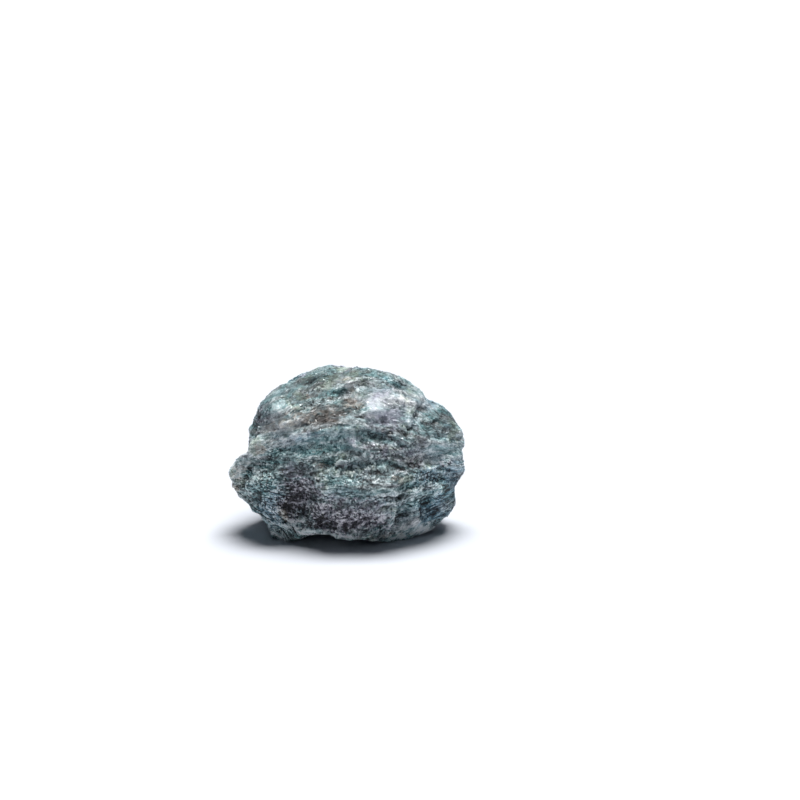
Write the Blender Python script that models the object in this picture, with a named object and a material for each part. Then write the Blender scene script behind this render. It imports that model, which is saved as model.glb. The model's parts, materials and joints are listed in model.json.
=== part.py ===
"""A rough stone of ruby in kyanite, about 48 mm wide, as one closed solid resting on the floor.

The stone is one natural piece, so it is one object. A dense ball is sculpted in the axes of the
stone's best side, in millimetres: u runs right, v runs up and w runs out towards the viewer, who
looks down on the stone at VIEW_TILT. The outline seen from there, the flat faces that broke off,
the hollows, ridges and creases are each stated once. The foliation, the stack of thin layers that
the rock grew in, then steps every broken side. The result is thinned to a faceted solid, cut flat
under its three feet and placed with the origin under the middle of its box.
"""

import math

import bmesh
import bpy
import numpy as np
from mathutils import Vector, noise

NAME = "ruby_kyanite_stone"
MM = 0.001
TINY = 1e-6

# How the best side is seen, the stone's depth before and behind its outline and its floor, mm.
# The stone's lower half stands forward of its upper half by the lean, in mm per mm of height.
VIEW_TILT = math.radians(16.0)
FRONT_DEPTH = 17.6
BACK_DEPTH = 19.5
LEAN = -0.22
BOXINESS = 2.45
FLOOR = -15.3

# The outline's notches fade over this share of the depth and even out over this angle, degrees
OUTLINE_REACH = 0.24
CALM_SPREAD = 22.0
CALM_SAMPLES = 9

# The bulk is this many times as wide as the outline, and what stays outside it comes off
OUTLINE_SPARE = 1.04
OUTLINE_SOFTNESS = 0.02

# The outline of the best side as (u, v), clockwise from the tip of the left nub, mm
OUTLINE = (
    (-24.2, -3.6), (-24.0, -2.7), (-22.5, -1.3), (-20.7, 1.0), (-20.2, 3.5), (-19.3, 7.2),
    (-18.0, 9.6), (-16.6, 12.0), (-14.0, 14.1), (-12.2, 15.2), (-7.6, 16.9), (-5.9, 17.9),
    (-3.9, 18.5), (0.4, 18.2), (4.4, 17.7), (8.8, 16.8), (10.9, 16.1), (13.0, 15.0),
    (14.7, 13.3), (15.8, 11.4), (18.6, 10.5), (21.0, 8.8), (22.4, 6.2), (23.7, 3.1),
    (23.4, 1.2), (23.5, -0.8), (24.1, -3.4), (22.6, -6.0), (22.0, -7.2), (22.4, -10.0),
    (21.7, -11.7), (19.3, -13.9), (17.5, -15.3), (13.1, -16.8), (8.8, -17.5), (2.6, -17.2),
    (-1.8, -17.0), (-3.9, -16.1), (-7.0, -15.8), (-9.6, -16.5), (-12.5, -17.1), (-14.6, -16.5),
    (-16.0, -14.8), (-17.3, -12.6), (-20.0, -10.2), (-22.7, -7.9), (-23.3, -5.5),
)

# Flat broken faces as (outward direction in u, v, w; a point on the face, mm)
FRONT_FACES = {
    "top": ((-0.06, 0.94, 0.34), (0.0, 14.2, 8.0)),
    "brow": ((-0.10, 0.72, 0.69), (0.0, 14.2, 8.2)),
    "front": ((0.03, 0.16, 0.99), (0.0, 5.0, 16.2)),
    "front_left": ((-0.52, 0.10, 0.85), (-11.0, 2.0, 14.4)),
    "left_strip": ((-0.90, 0.36, 0.24), (-18.6, 8.0, 5.0)),
    "lower_left": ((-0.55, -0.50, 0.67), (-16.0, -9.0, 9.5)),
    "lower_front": ((0.02, -0.60, 0.80), (-2.0, -9.5, 16.6)),
    "lower_right": ((0.50, -0.60, 0.62), (12.0, -8.6, 12.6)),
    "right": ((0.74, 0.02, 0.67), (17.0, -1.0, 11.0)),
    "upper_right": ((0.55, 0.55, 0.63), (13.5, 10.0, 9.0)),
}
BACK_FACES = {
    "back_top": ((0.12, 0.86, -0.50), (0.0, 16.4, -6.0)),
    "back_high": ((-0.22, 0.42, -0.88), (-2.0, 7.0, -16.0)),
    "back_left": ((-0.80, 0.10, -0.59), (-17.6, 0.0, -8.6)),
    "back_right": ((0.72, 0.20, -0.66), (15.5, 2.0, -9.5)),
    "back_low": ((0.10, -0.34, -0.93), (2.0, -5.0, -17.6)),
    "back_heel": ((-0.30, -0.62, -0.72), (-6.0, -11.0, -13.0)),
}
ARRIS_SOFTNESS = 0.035

# Soft lumps and hollows of the best side as (centre u, v; half sizes; turn in degrees; height), mm
LUMPS = {
    "dark_hollow": ((-9.6, -8.6), (4.6, 3.4), 62.0, -2.4),
    "pale_sweep": ((4.0, -6.8), (9.0, 2.2), -6.0, 0.9),
    "quartz_patch": ((7.6, 10.6), (4.6, 2.2), 4.0, 0.7),
    "teal_dish": ((7.0, 13.6), (6.0, 0.9), 3.0, -0.7),
    "upper_left_cushion": ((-13.6, 9.4), (4.4, 3.0), 30.0, 0.8),
    "left_shelf": ((-17.6, -4.4), (3.0, 4.4), 20.0, 0.7),
    "upper_right_lobe": ((19.0, 6.4), (3.4, 3.6), -35.0, 1.1),
    "right_lobe": ((21.2, -0.8), (2.6, 2.8), 0.0, 0.8),
    "lower_right_dish": ((18.6, -10.2), (4.2, 2.4), 40.0, -1.4),
    "corner_facet": ((11.6, -12.8), (1.5, 2.5), -15.0, -1.5),
    "lower_right_knob": ((14.6, -13.4), (2.6, 2.4), 0.0, 0.6),
    "foot_lobe": ((-13.0, -14.2), (3.4, 2.4), -20.0, 0.9),
    "brow_dish": ((-4.0, 8.8), (8.0, 1.4), 14.0, -0.7),
}

# Creases cut across the best side as (points u, v; half width; depth), mm
CREASES = {
    "nub_crease": (((-19.8, -0.8), (-20.6, -3.0), (-21.6, -6.4)), 0.7, 1.2),
    "brow_crease": (((-16.0, 3.6), (-9.0, 6.0), (0.0, 8.0)), 0.8, 0.9),
    "shoulder_notch": (((16.9, 11.6), (14.6, 8.6), (13.4, 5.6)), 1.1, 1.3),
    "lobe_crease": (((24.2, 1.2), (20.6, 0.2), (17.2, 0.8)), 0.9, 0.9),
    "foot_groove": (((-10.0, -11.8), (-6.6, -13.2), (-3.0, -14.8)), 0.9, 1.0),
    "foot_notch": (((-7.4, -16.4), (-5.2, -14.6)), 1.4, 0.9),
    "face_crease": (((-7.0, -1.6), (-1.6, -2.8), (4.4, -2.4)), 0.6, 0.6),
    "mid_crease": (((5.0, 3.6), (9.0, 2.6), (13.0, 0.4)), 0.6, 0.6),
}

# Raised arrises that catch the light on the best side, in the same form
RIDGES = {
    "top_arris": (((-4.6, 11.6), (0.6, 14.2), (3.8, 15.4), (10.8, 15.2)), 0.7, 0.7),
    "left_rim": (((-21.8, -1.4), (-17.4, 3.1), (-11.6, 6.2)), 0.8, 0.8),
    "lower_left_rim": (((-20.8, -8.2), (-13.9, -12.0), (-12.0, -14.8)), 0.9, 0.7),
    "sweep_arris": (((-6.4, -7.2), (-3.0, -3.4), (1.0, -1.0)), 0.9, 0.9),
    "corner_arris": (((8.8, -14.4), (9.8, -10.6), (12.0, -8.2), (19.2, -6.6)), 0.7, 0.9),
}

# Where the best side's forms begin and are full, as the outward share of the direction
BEST_SIDE = (0.12, 0.45)
LUMP_EDGE = 1.4
LINE_WANDER = (3.0, 0.7)

# The foliation: layers arch over this radius across the best side, and dip towards the viewer
ARCH_CENTRE = 1.0
ARCH_RADIUS = 52.0
LAYER_DIP = 0.22
LAYER_WARP = (9.0, 1.1)

# Broken layers as (thickness of a layer, length of a broken piece, height of a step), mm
COARSE_LEDGES = (3.3, 9.0, 1.0)
FINE_LEDGES = (1.5, 5.0, 0.55)
STEP_START = 0.34
STEP_END = 0.66
LAYER_SHIFT = 0.77
BACK_ROUGHER = 0.7
BACK_BAND = (-0.1, -0.5)
OUTLINE_CALM = 0.5
CALM_BAND = 0.3

# Unevenness of the broken rock as (size of a lump, height), mm
SWELL = (13.0, 0.9)
KNOBS = (4.2, 0.5)
GRAIN = (1.7, 0.16)
OCTAVES = 3

# Each unevenness takes its own part of the noise
SEEDS = {
    "swell": 3, "layer_warp": 11, "knobs": 17, "coarse_ledges": 23, "fine_ledges": 31,
    "line_wander": 41, "grain": 53, "underside": 71,
}
NOISE_SHIFT = Vector((7.31, 3.17, 5.73))

# The stone stands on three worn feet at these x, y, mm, and its underside is hollow between them
FEET = ((-11.5, -8.5), (9.5, -7.5), (1.0, 10.0))
FOOT_RADIUS = 2.6
FOOT_SLOPE = 5.0
FOOT_SINK = 0.2
HOLLOW_HEIGHT = 1.6
HOLLOW_UNEVEN = (5.0, 0.5, 0.9)
SOLE_BAND = (3.0, -0.3)

BALL_SUBDIVISIONS = 7
TRIANGLES = 7000
CUTTER_SIZE = 0.1

STONE_COLOUR = (0.13, 0.17, 0.18, 1.0)
STONE_ROUGHNESS = 0.62


def clear_scene():
    for obj in list(bpy.data.objects):
        bpy.data.objects.remove(obj, do_unlink=True)


def new_collection(name):
    collection = bpy.data.collections.new(name)
    bpy.context.scene.collection.children.link(collection)
    return collection


def smoothstep(low, high, value):
    t = np.clip((value - low) / (high - low), 0.0, 1.0)
    return t * t * (3.0 - 2.0 * t)


def soft_min(a, b, softness):
    """The smaller of a and b, with the corner between them rounded."""
    overlap = np.maximum(softness - np.abs(a - b), 0.0)
    return np.minimum(a, b) - overlap**2 / (4.0 * softness)


def noise_at(points, seed):
    """Smooth noise from -1 to 1 at each point. The seed moves it to a part of its own."""
    shift = NOISE_SHIFT * seed
    return np.array([noise.noise(Vector(point) + shift) for point in points])


def uneven_height(points, size, height, seed):
    """Lumps of one size with finer ones on top, each octave half as large and half as high."""
    total = np.zeros(len(points))
    for octave in range(OCTAVES):
        finer = 2.0**octave
        total += noise_at(points * finer / size, seed + octave) / finer
    return height * total


def rock_ball():
    """A dense ball of even triangles."""
    ball = bmesh.new()
    bmesh.ops.create_icosphere(ball, subdivisions=BALL_SUBDIVISIONS, radius=1.0)
    return ball


def outline_radius(angle):
    """Distance from the middle to the outline at each angle."""
    points = np.array(OUTLINE)
    angles = np.arctan2(points[:, 1], points[:, 0])
    radii = np.hypot(points[:, 0], points[:, 1])
    order = np.argsort(angles)
    return np.interp(angle, angles[order], radii[order], period=math.tau)


def calm_radius(angle):
    """The outline's distance with its notches and lobes evened out."""
    spread = np.radians(np.linspace(-CALM_SPREAD, CALM_SPREAD, CALM_SAMPLES))
    return np.mean([outline_radius(angle + turn) for turn in spread], axis=0)


def bulk(direction):
    """The stone as a soft block about as wide as its outline, before anything broke off.

    The outline's notches and lobes fade towards the front and the back.
    """
    side = np.hypot(direction[:, 0], direction[:, 1])
    out = direction[:, 2]
    swell = (side**BOXINESS + np.abs(out) ** BOXINESS) ** (-1.0 / BOXINESS)
    angle = np.arctan2(direction[:, 1], direction[:, 0])
    at_outline = np.exp(-((out / OUTLINE_REACH) ** 2))
    calm = calm_radius(angle)
    radius = calm + (outline_radius(angle) - calm) * at_outline
    reach = radius * OUTLINE_SPARE * side * swell
    u = np.cos(angle) * reach
    v = np.sin(angle) * reach
    depth = np.where(out > 0.0, FRONT_DEPTH, BACK_DEPTH) * out * swell
    return np.column_stack((u, v, depth + LEAN * v))


def break_faces(points, faces):
    """Cuts the stone back to each flat face, towards its middle, with a worn arris between them."""
    for outward, on_face in faces.values():
        normal = np.array(outward) / np.linalg.norm(outward)
        reach = np.maximum(points @ normal, TINY)
        keep = np.array(on_face) @ normal / reach
        points = points * soft_min(1.0, keep, ARRIS_SOFTNESS)[:, None]
    return points


def lump_height(points, centre, half_size, turn, height):
    """A soft oval lump, or a hollow where the height is negative."""
    offset = points[:, :2] - np.array(centre)
    c = math.cos(math.radians(turn))
    s = math.sin(math.radians(turn))
    along = (offset @ np.array((c, s))) / half_size[0]
    across = (offset @ np.array((-s, c))) / half_size[1]
    return height * np.exp(-((along**2 + across**2) ** LUMP_EDGE))


def line_height(points, bends, half_width, height, wander):
    """A ridge along a bent line, or a crease where the height is negative."""
    away = np.full(len(points), np.inf)
    for start, end in zip(np.array(bends[:-1]), np.array(bends[1:])):
        run = end - start
        offset = points[:, :2] - start
        t = np.clip((offset @ run) / (run @ run), 0.0, 1.0)
        away = np.minimum(away, np.linalg.norm(offset - t[:, None] * run, axis=1))
    return height * np.exp(-(((away + wander) / half_width) ** 2))


def best_side_height(points):
    """The lumps, hollows, creases and arrises of the best side, mm."""
    height = np.zeros(len(points))
    for lump in LUMPS.values():
        height += lump_height(points, *lump)
    size, amount = LINE_WANDER
    wander = amount * noise_at(points / size, SEEDS["line_wander"])
    for bends, half_width, depth in CREASES.values():
        height += line_height(points, bends, half_width, -depth, wander)
    for bends, half_width, rise in RIDGES.values():
        height += line_height(points, bends, half_width, rise, wander)
    return height


def layer_position(points):
    """How high in the stack of layers each point lies, mm."""
    u, v, w = points.T
    arch = (u - ARCH_CENTRE) ** 2 / (2.0 * ARCH_RADIUS)
    size, amount = LAYER_WARP
    warp = amount * noise_at(points / size, SEEDS["layer_warp"])
    return v + arch + LAYER_DIP * w + warp


def ledge_height(points, thickness, run, height, seed):
    """Layers broken off at unequal lengths: flat within a layer, a sharp step to the next."""
    place = layer_position(points) / thickness
    layer = np.floor(place)
    step = smoothstep(STEP_START, STEP_END, place - layer)
    along = points[:, (0, 2)] / run
    lower = noise_at(np.column_stack((along, layer * LAYER_SHIFT)), seed)
    upper = noise_at(np.column_stack((along, (layer + 1.0) * LAYER_SHIFT)), seed)
    return height * (lower + (upper - lower) * step)


def coarse_height(points, out):
    """The large unevenness of the broken rock, mm: calmer near the outline, rougher behind."""
    calm = OUTLINE_CALM + (1.0 - OUTLINE_CALM) * smoothstep(0.0, CALM_BAND, np.abs(out))
    behind = 1.0 + BACK_ROUGHER * smoothstep(*BACK_BAND, out)
    height = uneven_height(points, *SWELL, SEEDS["swell"])
    height += uneven_height(points, *KNOBS, SEEDS["knobs"])
    height += behind * ledge_height(points, *COARSE_LEDGES, SEEDS["coarse_ledges"])
    return calm * height


def fine_height(points):
    """Thin broken layers and grain, mm, on every side."""
    height = ledge_height(points, *FINE_LEDGES, SEEDS["fine_ledges"])
    return height + uneven_height(points, *GRAIN, SEEDS["grain"])


def raised(points, height):
    """The points moved outward, away from the stone's middle, by a height each."""
    outward = points / np.linalg.norm(points, axis=1)[:, None]
    return points + outward * height[:, None]


def inside_outline(points):
    """Takes off whatever the unevenness pushed past the outline."""
    reach = np.hypot(points[:, 0], points[:, 1])
    limit = outline_radius(np.arctan2(points[:, 1], points[:, 0]))
    room = limit / np.maximum(reach, TINY)
    held = points.copy()
    held[:, :2] *= soft_min(1.0, room, OUTLINE_SOFTNESS)[:, None]
    return held


def sculpt(direction):
    """The stone's surface, mm, for the unit direction of each point of the ball."""
    points = bulk(direction)
    points = break_faces(points, FRONT_FACES)
    points = break_faces(points, BACK_FACES)
    out = direction[:, 2]
    forms = smoothstep(*BEST_SIDE, out) * best_side_height(points)
    points = inside_outline(raised(points, forms + coarse_height(points, out)))
    return raised(points, fine_height(points))


def stand_up(points):
    """Turns the best side's axes to the row's: X right, Y away, Z up."""
    u, v, w = points.T
    c = math.cos(VIEW_TILT)
    s = math.sin(VIEW_TILT)
    return np.column_stack((u, v * s - w * c, v * c + w * s))


def hollow_underside(points):
    """Lifts the underside off the floor except at its feet, so that the stone stands on them."""
    x, y, z = points.T
    away = np.full(len(points), np.inf)
    for foot_x, foot_y in FEET:
        away = np.minimum(away, np.hypot(x - foot_x, y - foot_y))
    size, least, more = HOLLOW_UNEVEN
    uneven = least + more * np.abs(noise_at(points / size, SEEDS["underside"]))
    lift = HOLLOW_HEIGHT * smoothstep(FOOT_RADIUS, FOOT_RADIUS + FOOT_SLOPE, away) * uneven
    near_floor = smoothstep(FLOOR + SOLE_BAND[0], FLOOR + SOLE_BAND[1], z)
    sole = FLOOR - FOOT_SINK + lift
    return np.column_stack((x, y, z + near_floor * (sole - z)))


def thinned(name, ball):
    """The ball as a mesh, thinned to the wanted count of triangles."""
    mesh = bpy.data.meshes.new(name)
    ball.to_mesh(mesh)
    obj = bpy.data.objects.new(name, mesh)
    bpy.context.scene.collection.objects.link(obj)
    decimate = obj.modifiers.new("thin", "DECIMATE")
    decimate.ratio = TRIANGLES / len(ball.faces)
    graph = bpy.context.evaluated_depsgraph_get()
    thin = bpy.data.meshes.new_from_object(obj.evaluated_get(graph))
    bpy.data.objects.remove(obj)
    thin.name = name
    return thin


def centre_on_footprint(mesh):
    """Puts the origin under the middle of the stone's box, on the floor."""
    corners = np.array([vertex.co for vertex in mesh.vertices])
    middle = (corners.min(axis=0) + corners.max(axis=0)) / 2.0
    for vertex in mesh.vertices:
        vertex.co -= Vector((middle[0], middle[1], FLOOR * MM))


def floor_cutter(collection):
    """A block under the floor, which cuts the stone's feet flat."""
    block = bmesh.new()
    bmesh.ops.create_cube(block, size=CUTTER_SIZE)
    bmesh.ops.translate(block, verts=block.verts, vec=(0.0, 0.0, -CUTTER_SIZE / 2.0))
    mesh = bpy.data.meshes.new("floor_cutter")
    block.to_mesh(mesh)
    block.free()
    cutter = bpy.data.objects.new("floor_cutter", mesh)
    cutter.hide_render = True
    cutter.display_type = "WIRE"
    collection.objects.link(cutter)
    return cutter


def stone_material():
    material = bpy.data.materials.new("ruby_kyanite")
    material.use_nodes = True
    shader = material.node_tree.nodes["Principled BSDF"]
    shader.inputs["Base Color"].default_value = STONE_COLOUR
    shader.inputs["Roughness"].default_value = STONE_ROUGHNESS
    shader.inputs["Metallic"].default_value = 0.0
    return material


def main():
    clear_scene()
    parts = new_collection("ruby_in_kyanite")
    cutters = new_collection("cutters")

    ball = rock_ball()
    direction = np.array([vertex.co for vertex in ball.verts])
    surface = hollow_underside(stand_up(sculpt(direction)))
    for vertex, place in zip(ball.verts, surface):
        vertex.co = Vector(place) * MM
    mesh = thinned(NAME, ball)
    ball.free()
    centre_on_footprint(mesh)

    stone = bpy.data.objects.new(NAME, mesh)
    parts.objects.link(stone)
    mesh.materials.append(stone_material())
    cut = stone.modifiers.new("floor_pads", "BOOLEAN")
    cut.operation = "DIFFERENCE"
    cut.solver = "EXACT"
    cut.object = floor_cutter(cutters)


if __name__ == "__main__":
    main()
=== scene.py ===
# %% [markdown]
# # A rough stone of ruby in kyanite
#
# The real object is a lump of rock, broken from a larger block and never polished. It is a felt of
# blue-green kyanite blades, silvery green mica and white quartz, with grey-purple zones full of
# small ruby grains. The rock grew in thin layers, and every broken side shows them as steps.
#
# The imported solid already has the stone's outline, flat breaks, lumps and large steps. This lesson
# gives it the surface that it shows up close. One cell after another makes a fine skin, the thin
# layers on it, the crystals that stand in it, and the finish of each.

# %% Load the frame
import json
import math
import random

import bmesh
import bpy
import numpy as np
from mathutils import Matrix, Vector, noise

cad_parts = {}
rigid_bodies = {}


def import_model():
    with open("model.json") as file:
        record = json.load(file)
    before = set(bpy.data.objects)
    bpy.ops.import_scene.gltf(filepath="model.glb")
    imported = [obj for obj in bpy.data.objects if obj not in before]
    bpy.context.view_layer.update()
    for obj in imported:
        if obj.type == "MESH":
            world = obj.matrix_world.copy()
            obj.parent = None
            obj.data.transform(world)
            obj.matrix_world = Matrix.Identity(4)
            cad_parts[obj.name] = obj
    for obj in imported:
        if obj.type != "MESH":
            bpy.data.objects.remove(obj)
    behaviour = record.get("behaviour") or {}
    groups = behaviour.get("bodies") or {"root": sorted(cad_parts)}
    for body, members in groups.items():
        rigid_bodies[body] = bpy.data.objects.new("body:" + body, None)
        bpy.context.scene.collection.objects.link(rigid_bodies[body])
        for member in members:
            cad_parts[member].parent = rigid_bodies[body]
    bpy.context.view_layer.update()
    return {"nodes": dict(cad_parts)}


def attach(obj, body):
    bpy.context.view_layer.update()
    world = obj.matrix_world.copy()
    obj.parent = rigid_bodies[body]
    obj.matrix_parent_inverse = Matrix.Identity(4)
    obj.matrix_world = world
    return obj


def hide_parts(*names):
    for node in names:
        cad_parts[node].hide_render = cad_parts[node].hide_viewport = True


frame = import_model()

NODE = "ruby_kyanite_stone"
MM = 0.001

# %% [markdown]
# ## The stone's own axes
#
# The stone has a best side. It is easiest to describe in that side's own axes, in millimetres: u
# runs right, v runs up and w runs out towards the viewer, who looks down by 16 degrees. The layers
# of the rock wrap round a core, as in an onion: they arch over it, are level beside it and hang
# under it like a bowl. `layer_at` says how high in the stack of layers a point lies.

# %% The stone's own axes
VIEW_TILT = math.radians(16.0)
U_ZERO = -0.05
V_ZERO = 14.70
W_ZERO = 4.26
CORE = (1.0, -4.0)
WRAP = 600.0
LAYER_DIP = 0.22
LAYER_WARP = 9.0
LAYER_WAVE = 1.1


def stone_axes(x, y, z):
    """u, v and w in mm, for x, y and z in mm."""
    c = math.cos(VIEW_TILT)
    s = math.sin(VIEW_TILT)
    return x - U_ZERO, y * s + z * c - V_ZERO, z * s - y * c - W_ZERO


def layer_at(u, v, w, wave):
    """How high in the stack of layers a point lies, in mm. The wave is a smooth noise, -1 to 1."""
    beside = u - CORE[0]
    return v + beside * beside * (v - CORE[1]) / WRAP + LAYER_DIP * w + LAYER_WAVE * wave


def layer_normal(u, v):
    """The direction, as x, y and z, in which the stack of layers rises."""
    beside = u - CORE[0]
    rise_u = beside * (v - CORE[1]) * 2.0 / WRAP
    rise_v = beside * beside / WRAP + 1.0
    c = math.cos(VIEW_TILT)
    s = math.sin(VIEW_TILT)
    return rise_u, rise_v * s - LAYER_DIP * c, rise_v * c + LAYER_DIP * s

# %% [markdown]
# ## Node trees from Python expressions
#
# The layers and the colours are made with node trees. Placing each node by hand in a script is
# long and hard to read, so two small classes do it. `Value` wraps one output of a node, and
# Python's own operators on it add Math nodes. `Graph` adds any other node: its settings are set
# first, then its sockets get numbers or links.

# %% One output of a node
class Value:
    """One output of a node. Python's operators on it add Math nodes to the same tree."""

    def __init__(self, graph, socket):
        self.graph = graph
        self.socket = socket

    def out(self, name):
        """Another output of the same node."""
        return Value(self.graph, self.graph.find(self.socket.node.outputs, name))

    def __add__(self, other):
        return self.graph.math("ADD", self, other)

    def __sub__(self, other):
        return self.graph.math("SUBTRACT", self, other)

    def __rsub__(self, other):
        return self.graph.math("SUBTRACT", other, self)

    def __mul__(self, other):
        return self.graph.math("MULTIPLY", self, other)

    def __truediv__(self, other):
        return self.graph.math("DIVIDE", self, other)

    def __rtruediv__(self, other):
        return self.graph.math("DIVIDE", other, self)

    __radd__ = __add__
    __rmul__ = __mul__


# %% A whole tree
class Graph:
    """Adds nodes to one tree."""

    def __init__(self, tree):
        self.tree = tree

    def find(self, sockets, name):
        if isinstance(name, int):
            return sockets[name]
        return next(socket for socket in sockets if socket.name == name and socket.enabled)

    def add(self, kind, settings=None, inputs=None, out=0):
        """A node of this kind, with its settings set first and then its sockets."""
        node = self.tree.nodes.new(kind)
        for name, value in (settings or {}).items():
            if name == "stops":
                self.set_stops(node.color_ramp, value)
            else:
                setattr(node, name, value)
        for name, value in (inputs or {}).items():
            socket = self.find(node.inputs, name)
            if isinstance(value, Value):
                self.tree.links.new(value.socket, socket)
            else:
                socket.default_value = value
        return Value(self, self.find(node.outputs, out))

    def set_stops(self, ramp, stops):
        while len(ramp.elements) < len(stops):
            ramp.elements.new(1.0)
        for element, (place, colour) in zip(ramp.elements, stops):
            element.position = place
            element.color = colour

    def math(self, operation, *values):
        return self.add("ShaderNodeMath", {"operation": operation}, dict(enumerate(values)))

    def vector_math(self, operation, *values, out=0):
        return self.add("ShaderNodeVectorMath", {"operation": operation}, dict(enumerate(values)), out)

    def clamp(self, value):
        return self.add("ShaderNodeClamp", {}, {"Value": value})

    def rise(self, value, low, high):
        """0 below low, 1 above high, and a smooth step between them."""
        ends = {"Value": value, "From Min": low, "From Max": high}
        return self.add("ShaderNodeMapRange", {"interpolation_type": "SMOOTHSTEP"}, ends)

    def blend(self, low, high, share):
        """A number between two, by a share from 0 to 1."""
        return low + (high - low) * share

    def mix(self, low, high, share):
        """A colour between two, by a share from 0 to 1."""
        values = {"Factor": share, "A": low, "B": high}
        return self.add("ShaderNodeMix", {"data_type": "RGBA"}, values, "Result")

    def vector(self, x, y, z):
        return self.add("ShaderNodeCombineXYZ", {}, {0: x, 1: y, 2: z})

    def parts(self, vector):
        """The x, y and z of a vector."""
        x = self.add("ShaderNodeSeparateXYZ", {}, {0: vector})
        return x, x.out("Y"), x.out("Z")

    def scaled(self, vector, factor):
        return self.add("ShaderNodeVectorMath", {"operation": "SCALE"}, {0: vector, "Scale": factor})

    def noise(self, vector, size, detail=2.0, roughness=0.5):
        """Smooth noise from 0 to 1, in lumps of this size."""
        values = {"Vector": vector, "Scale": 1.0 / size, "Detail": detail, "Roughness": roughness}
        return self.add("ShaderNodeTexNoise", {"noise_dimensions": "3D"}, values)

    def cells(self, place, out="Distance"):
        """Scattered cells, one a unit: the distance from the middle of the nearest one."""
        return self.add("ShaderNodeTexVoronoi", {}, {"Vector": place, "Scale": 1.0}, out)

    def crystals(self, place):
        """A mosaic of crystals: two random numbers a crystal, and the height of its tilted face."""
        cell = self.cells(place, "Color")
        first, second, _ = self.parts(cell)
        lean = self.vector_math("SUBTRACT", cell, (0.5, 0.5, 0.5))
        inside = self.vector_math("SUBTRACT", place, cell.out("Position"))
        return first, second, self.vector_math("DOT_PRODUCT", lean, inside, out="Value")

    def attribute(self, name, kind="FLOAT"):
        """A named attribute of the mesh, read in a geometry tree or in a shader."""
        if self.tree.type == "GEOMETRY":
            return self.add("GeometryNodeInputNamedAttribute", {"data_type": kind}, {"Name": name})
        return self.add("ShaderNodeAttribute", {"attribute_name": name}, out="Fac")

    def weighed(self, start, weights):
        """A start value plus each named attribute times its weight."""
        for name, weight in weights.items():
            start = start + self.attribute(name) * weight
        return start

# %% [markdown]
# ## A fine skin
#
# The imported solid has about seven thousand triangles, each nearly a millimetre wide. The thin
# layers are finer than that. A voxel remesh covers the solid with small even squares instead, and
# a light smoothing takes the solid's facets away. The loose triangles are merged first, because a
# remesh needs a closed shape.

# %% Helpers for meshes and for noise
# Each use of noise reads it at a place of its own
SEEDS = {
    "wander u": 7.0, "wander v": 13.0, "layers": 19.0, "ledges": 37.0, "lines": 51.0,
    "zones u": 71.0, "zones v": 83.0, "ragged": 97.0,
}
SEED_SPREAD = (1.0, 0.7, 1.3)


def baked(name, obj):
    """The object as it looks with its modifiers, as a plain new object."""
    graph = bpy.context.evaluated_depsgraph_get()
    mesh = bpy.data.meshes.new_from_object(obj.evaluated_get(graph), depsgraph=graph)
    mesh.name = name
    plain = bpy.data.objects.new(name, mesh)
    bpy.context.scene.collection.objects.link(plain)
    return plain


def triangles(obj):
    return sum(len(face.vertices) - 2 for face in obj.data.polygons)


def read_all(items, field, width, kind=np.float32):
    """One field of many mesh items, as rows of this many numbers."""
    flat = np.empty(len(items) * width, kind)
    items.foreach_get(field, flat)
    return flat.reshape(-1, width)


def points_of(mesh):
    return read_all(mesh.vertices, "co", 3).astype(float) / MM


def lumpy(points, size, seed):
    """Smooth noise from -1 to 1 at each point, in lumps of this size."""
    shift = Vector(SEED_SPREAD) * seed
    return np.array([noise.noise(Vector(point) / size + shift) for point in points])


def step_up(value, low, high):
    """0 below low, 1 above high, and a smooth step between them."""
    share = np.clip((value - low) / (high - low), 0.0, 1.0)
    return share * share * (3.0 - 2.0 * share)


# %% Remesh the solid
VOXEL = 0.295 * MM
SMOOTHING = 6
MERGE = 0.002 * MM


def fine_skin():
    mesh = bmesh.new()
    mesh.from_mesh(frame["nodes"][NODE].data)
    bmesh.ops.remove_doubles(mesh, verts=mesh.verts, dist=MERGE)
    rough = bpy.data.objects.new("rough", bpy.data.meshes.new("rough"))
    mesh.to_mesh(rough.data)
    mesh.free()
    bpy.context.scene.collection.objects.link(rough)
    remesh = rough.modifiers.new("squares", "REMESH")
    remesh.mode = "VOXEL"
    remesh.voxel_size = VOXEL
    smooth = rough.modifiers.new("soften", "SMOOTH")
    smooth.iterations = SMOOTHING
    skin = baked("skin", rough)
    bpy.data.objects.remove(rough)
    return skin


skin = fine_skin()
print("skin:", triangles(skin), "triangles")

# %% [markdown]
# ## Small steps and dents
#
# The larger steps are on the solid. The small ones of the best side are listed here. A step is a
# line of points with the rock standing higher on its left hand. A dent or a lump is a soft oval.
# The outline has to stay where it is under the crystals that come later, so a few ovals at the rim
# put back what the crystals' room takes away.

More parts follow.
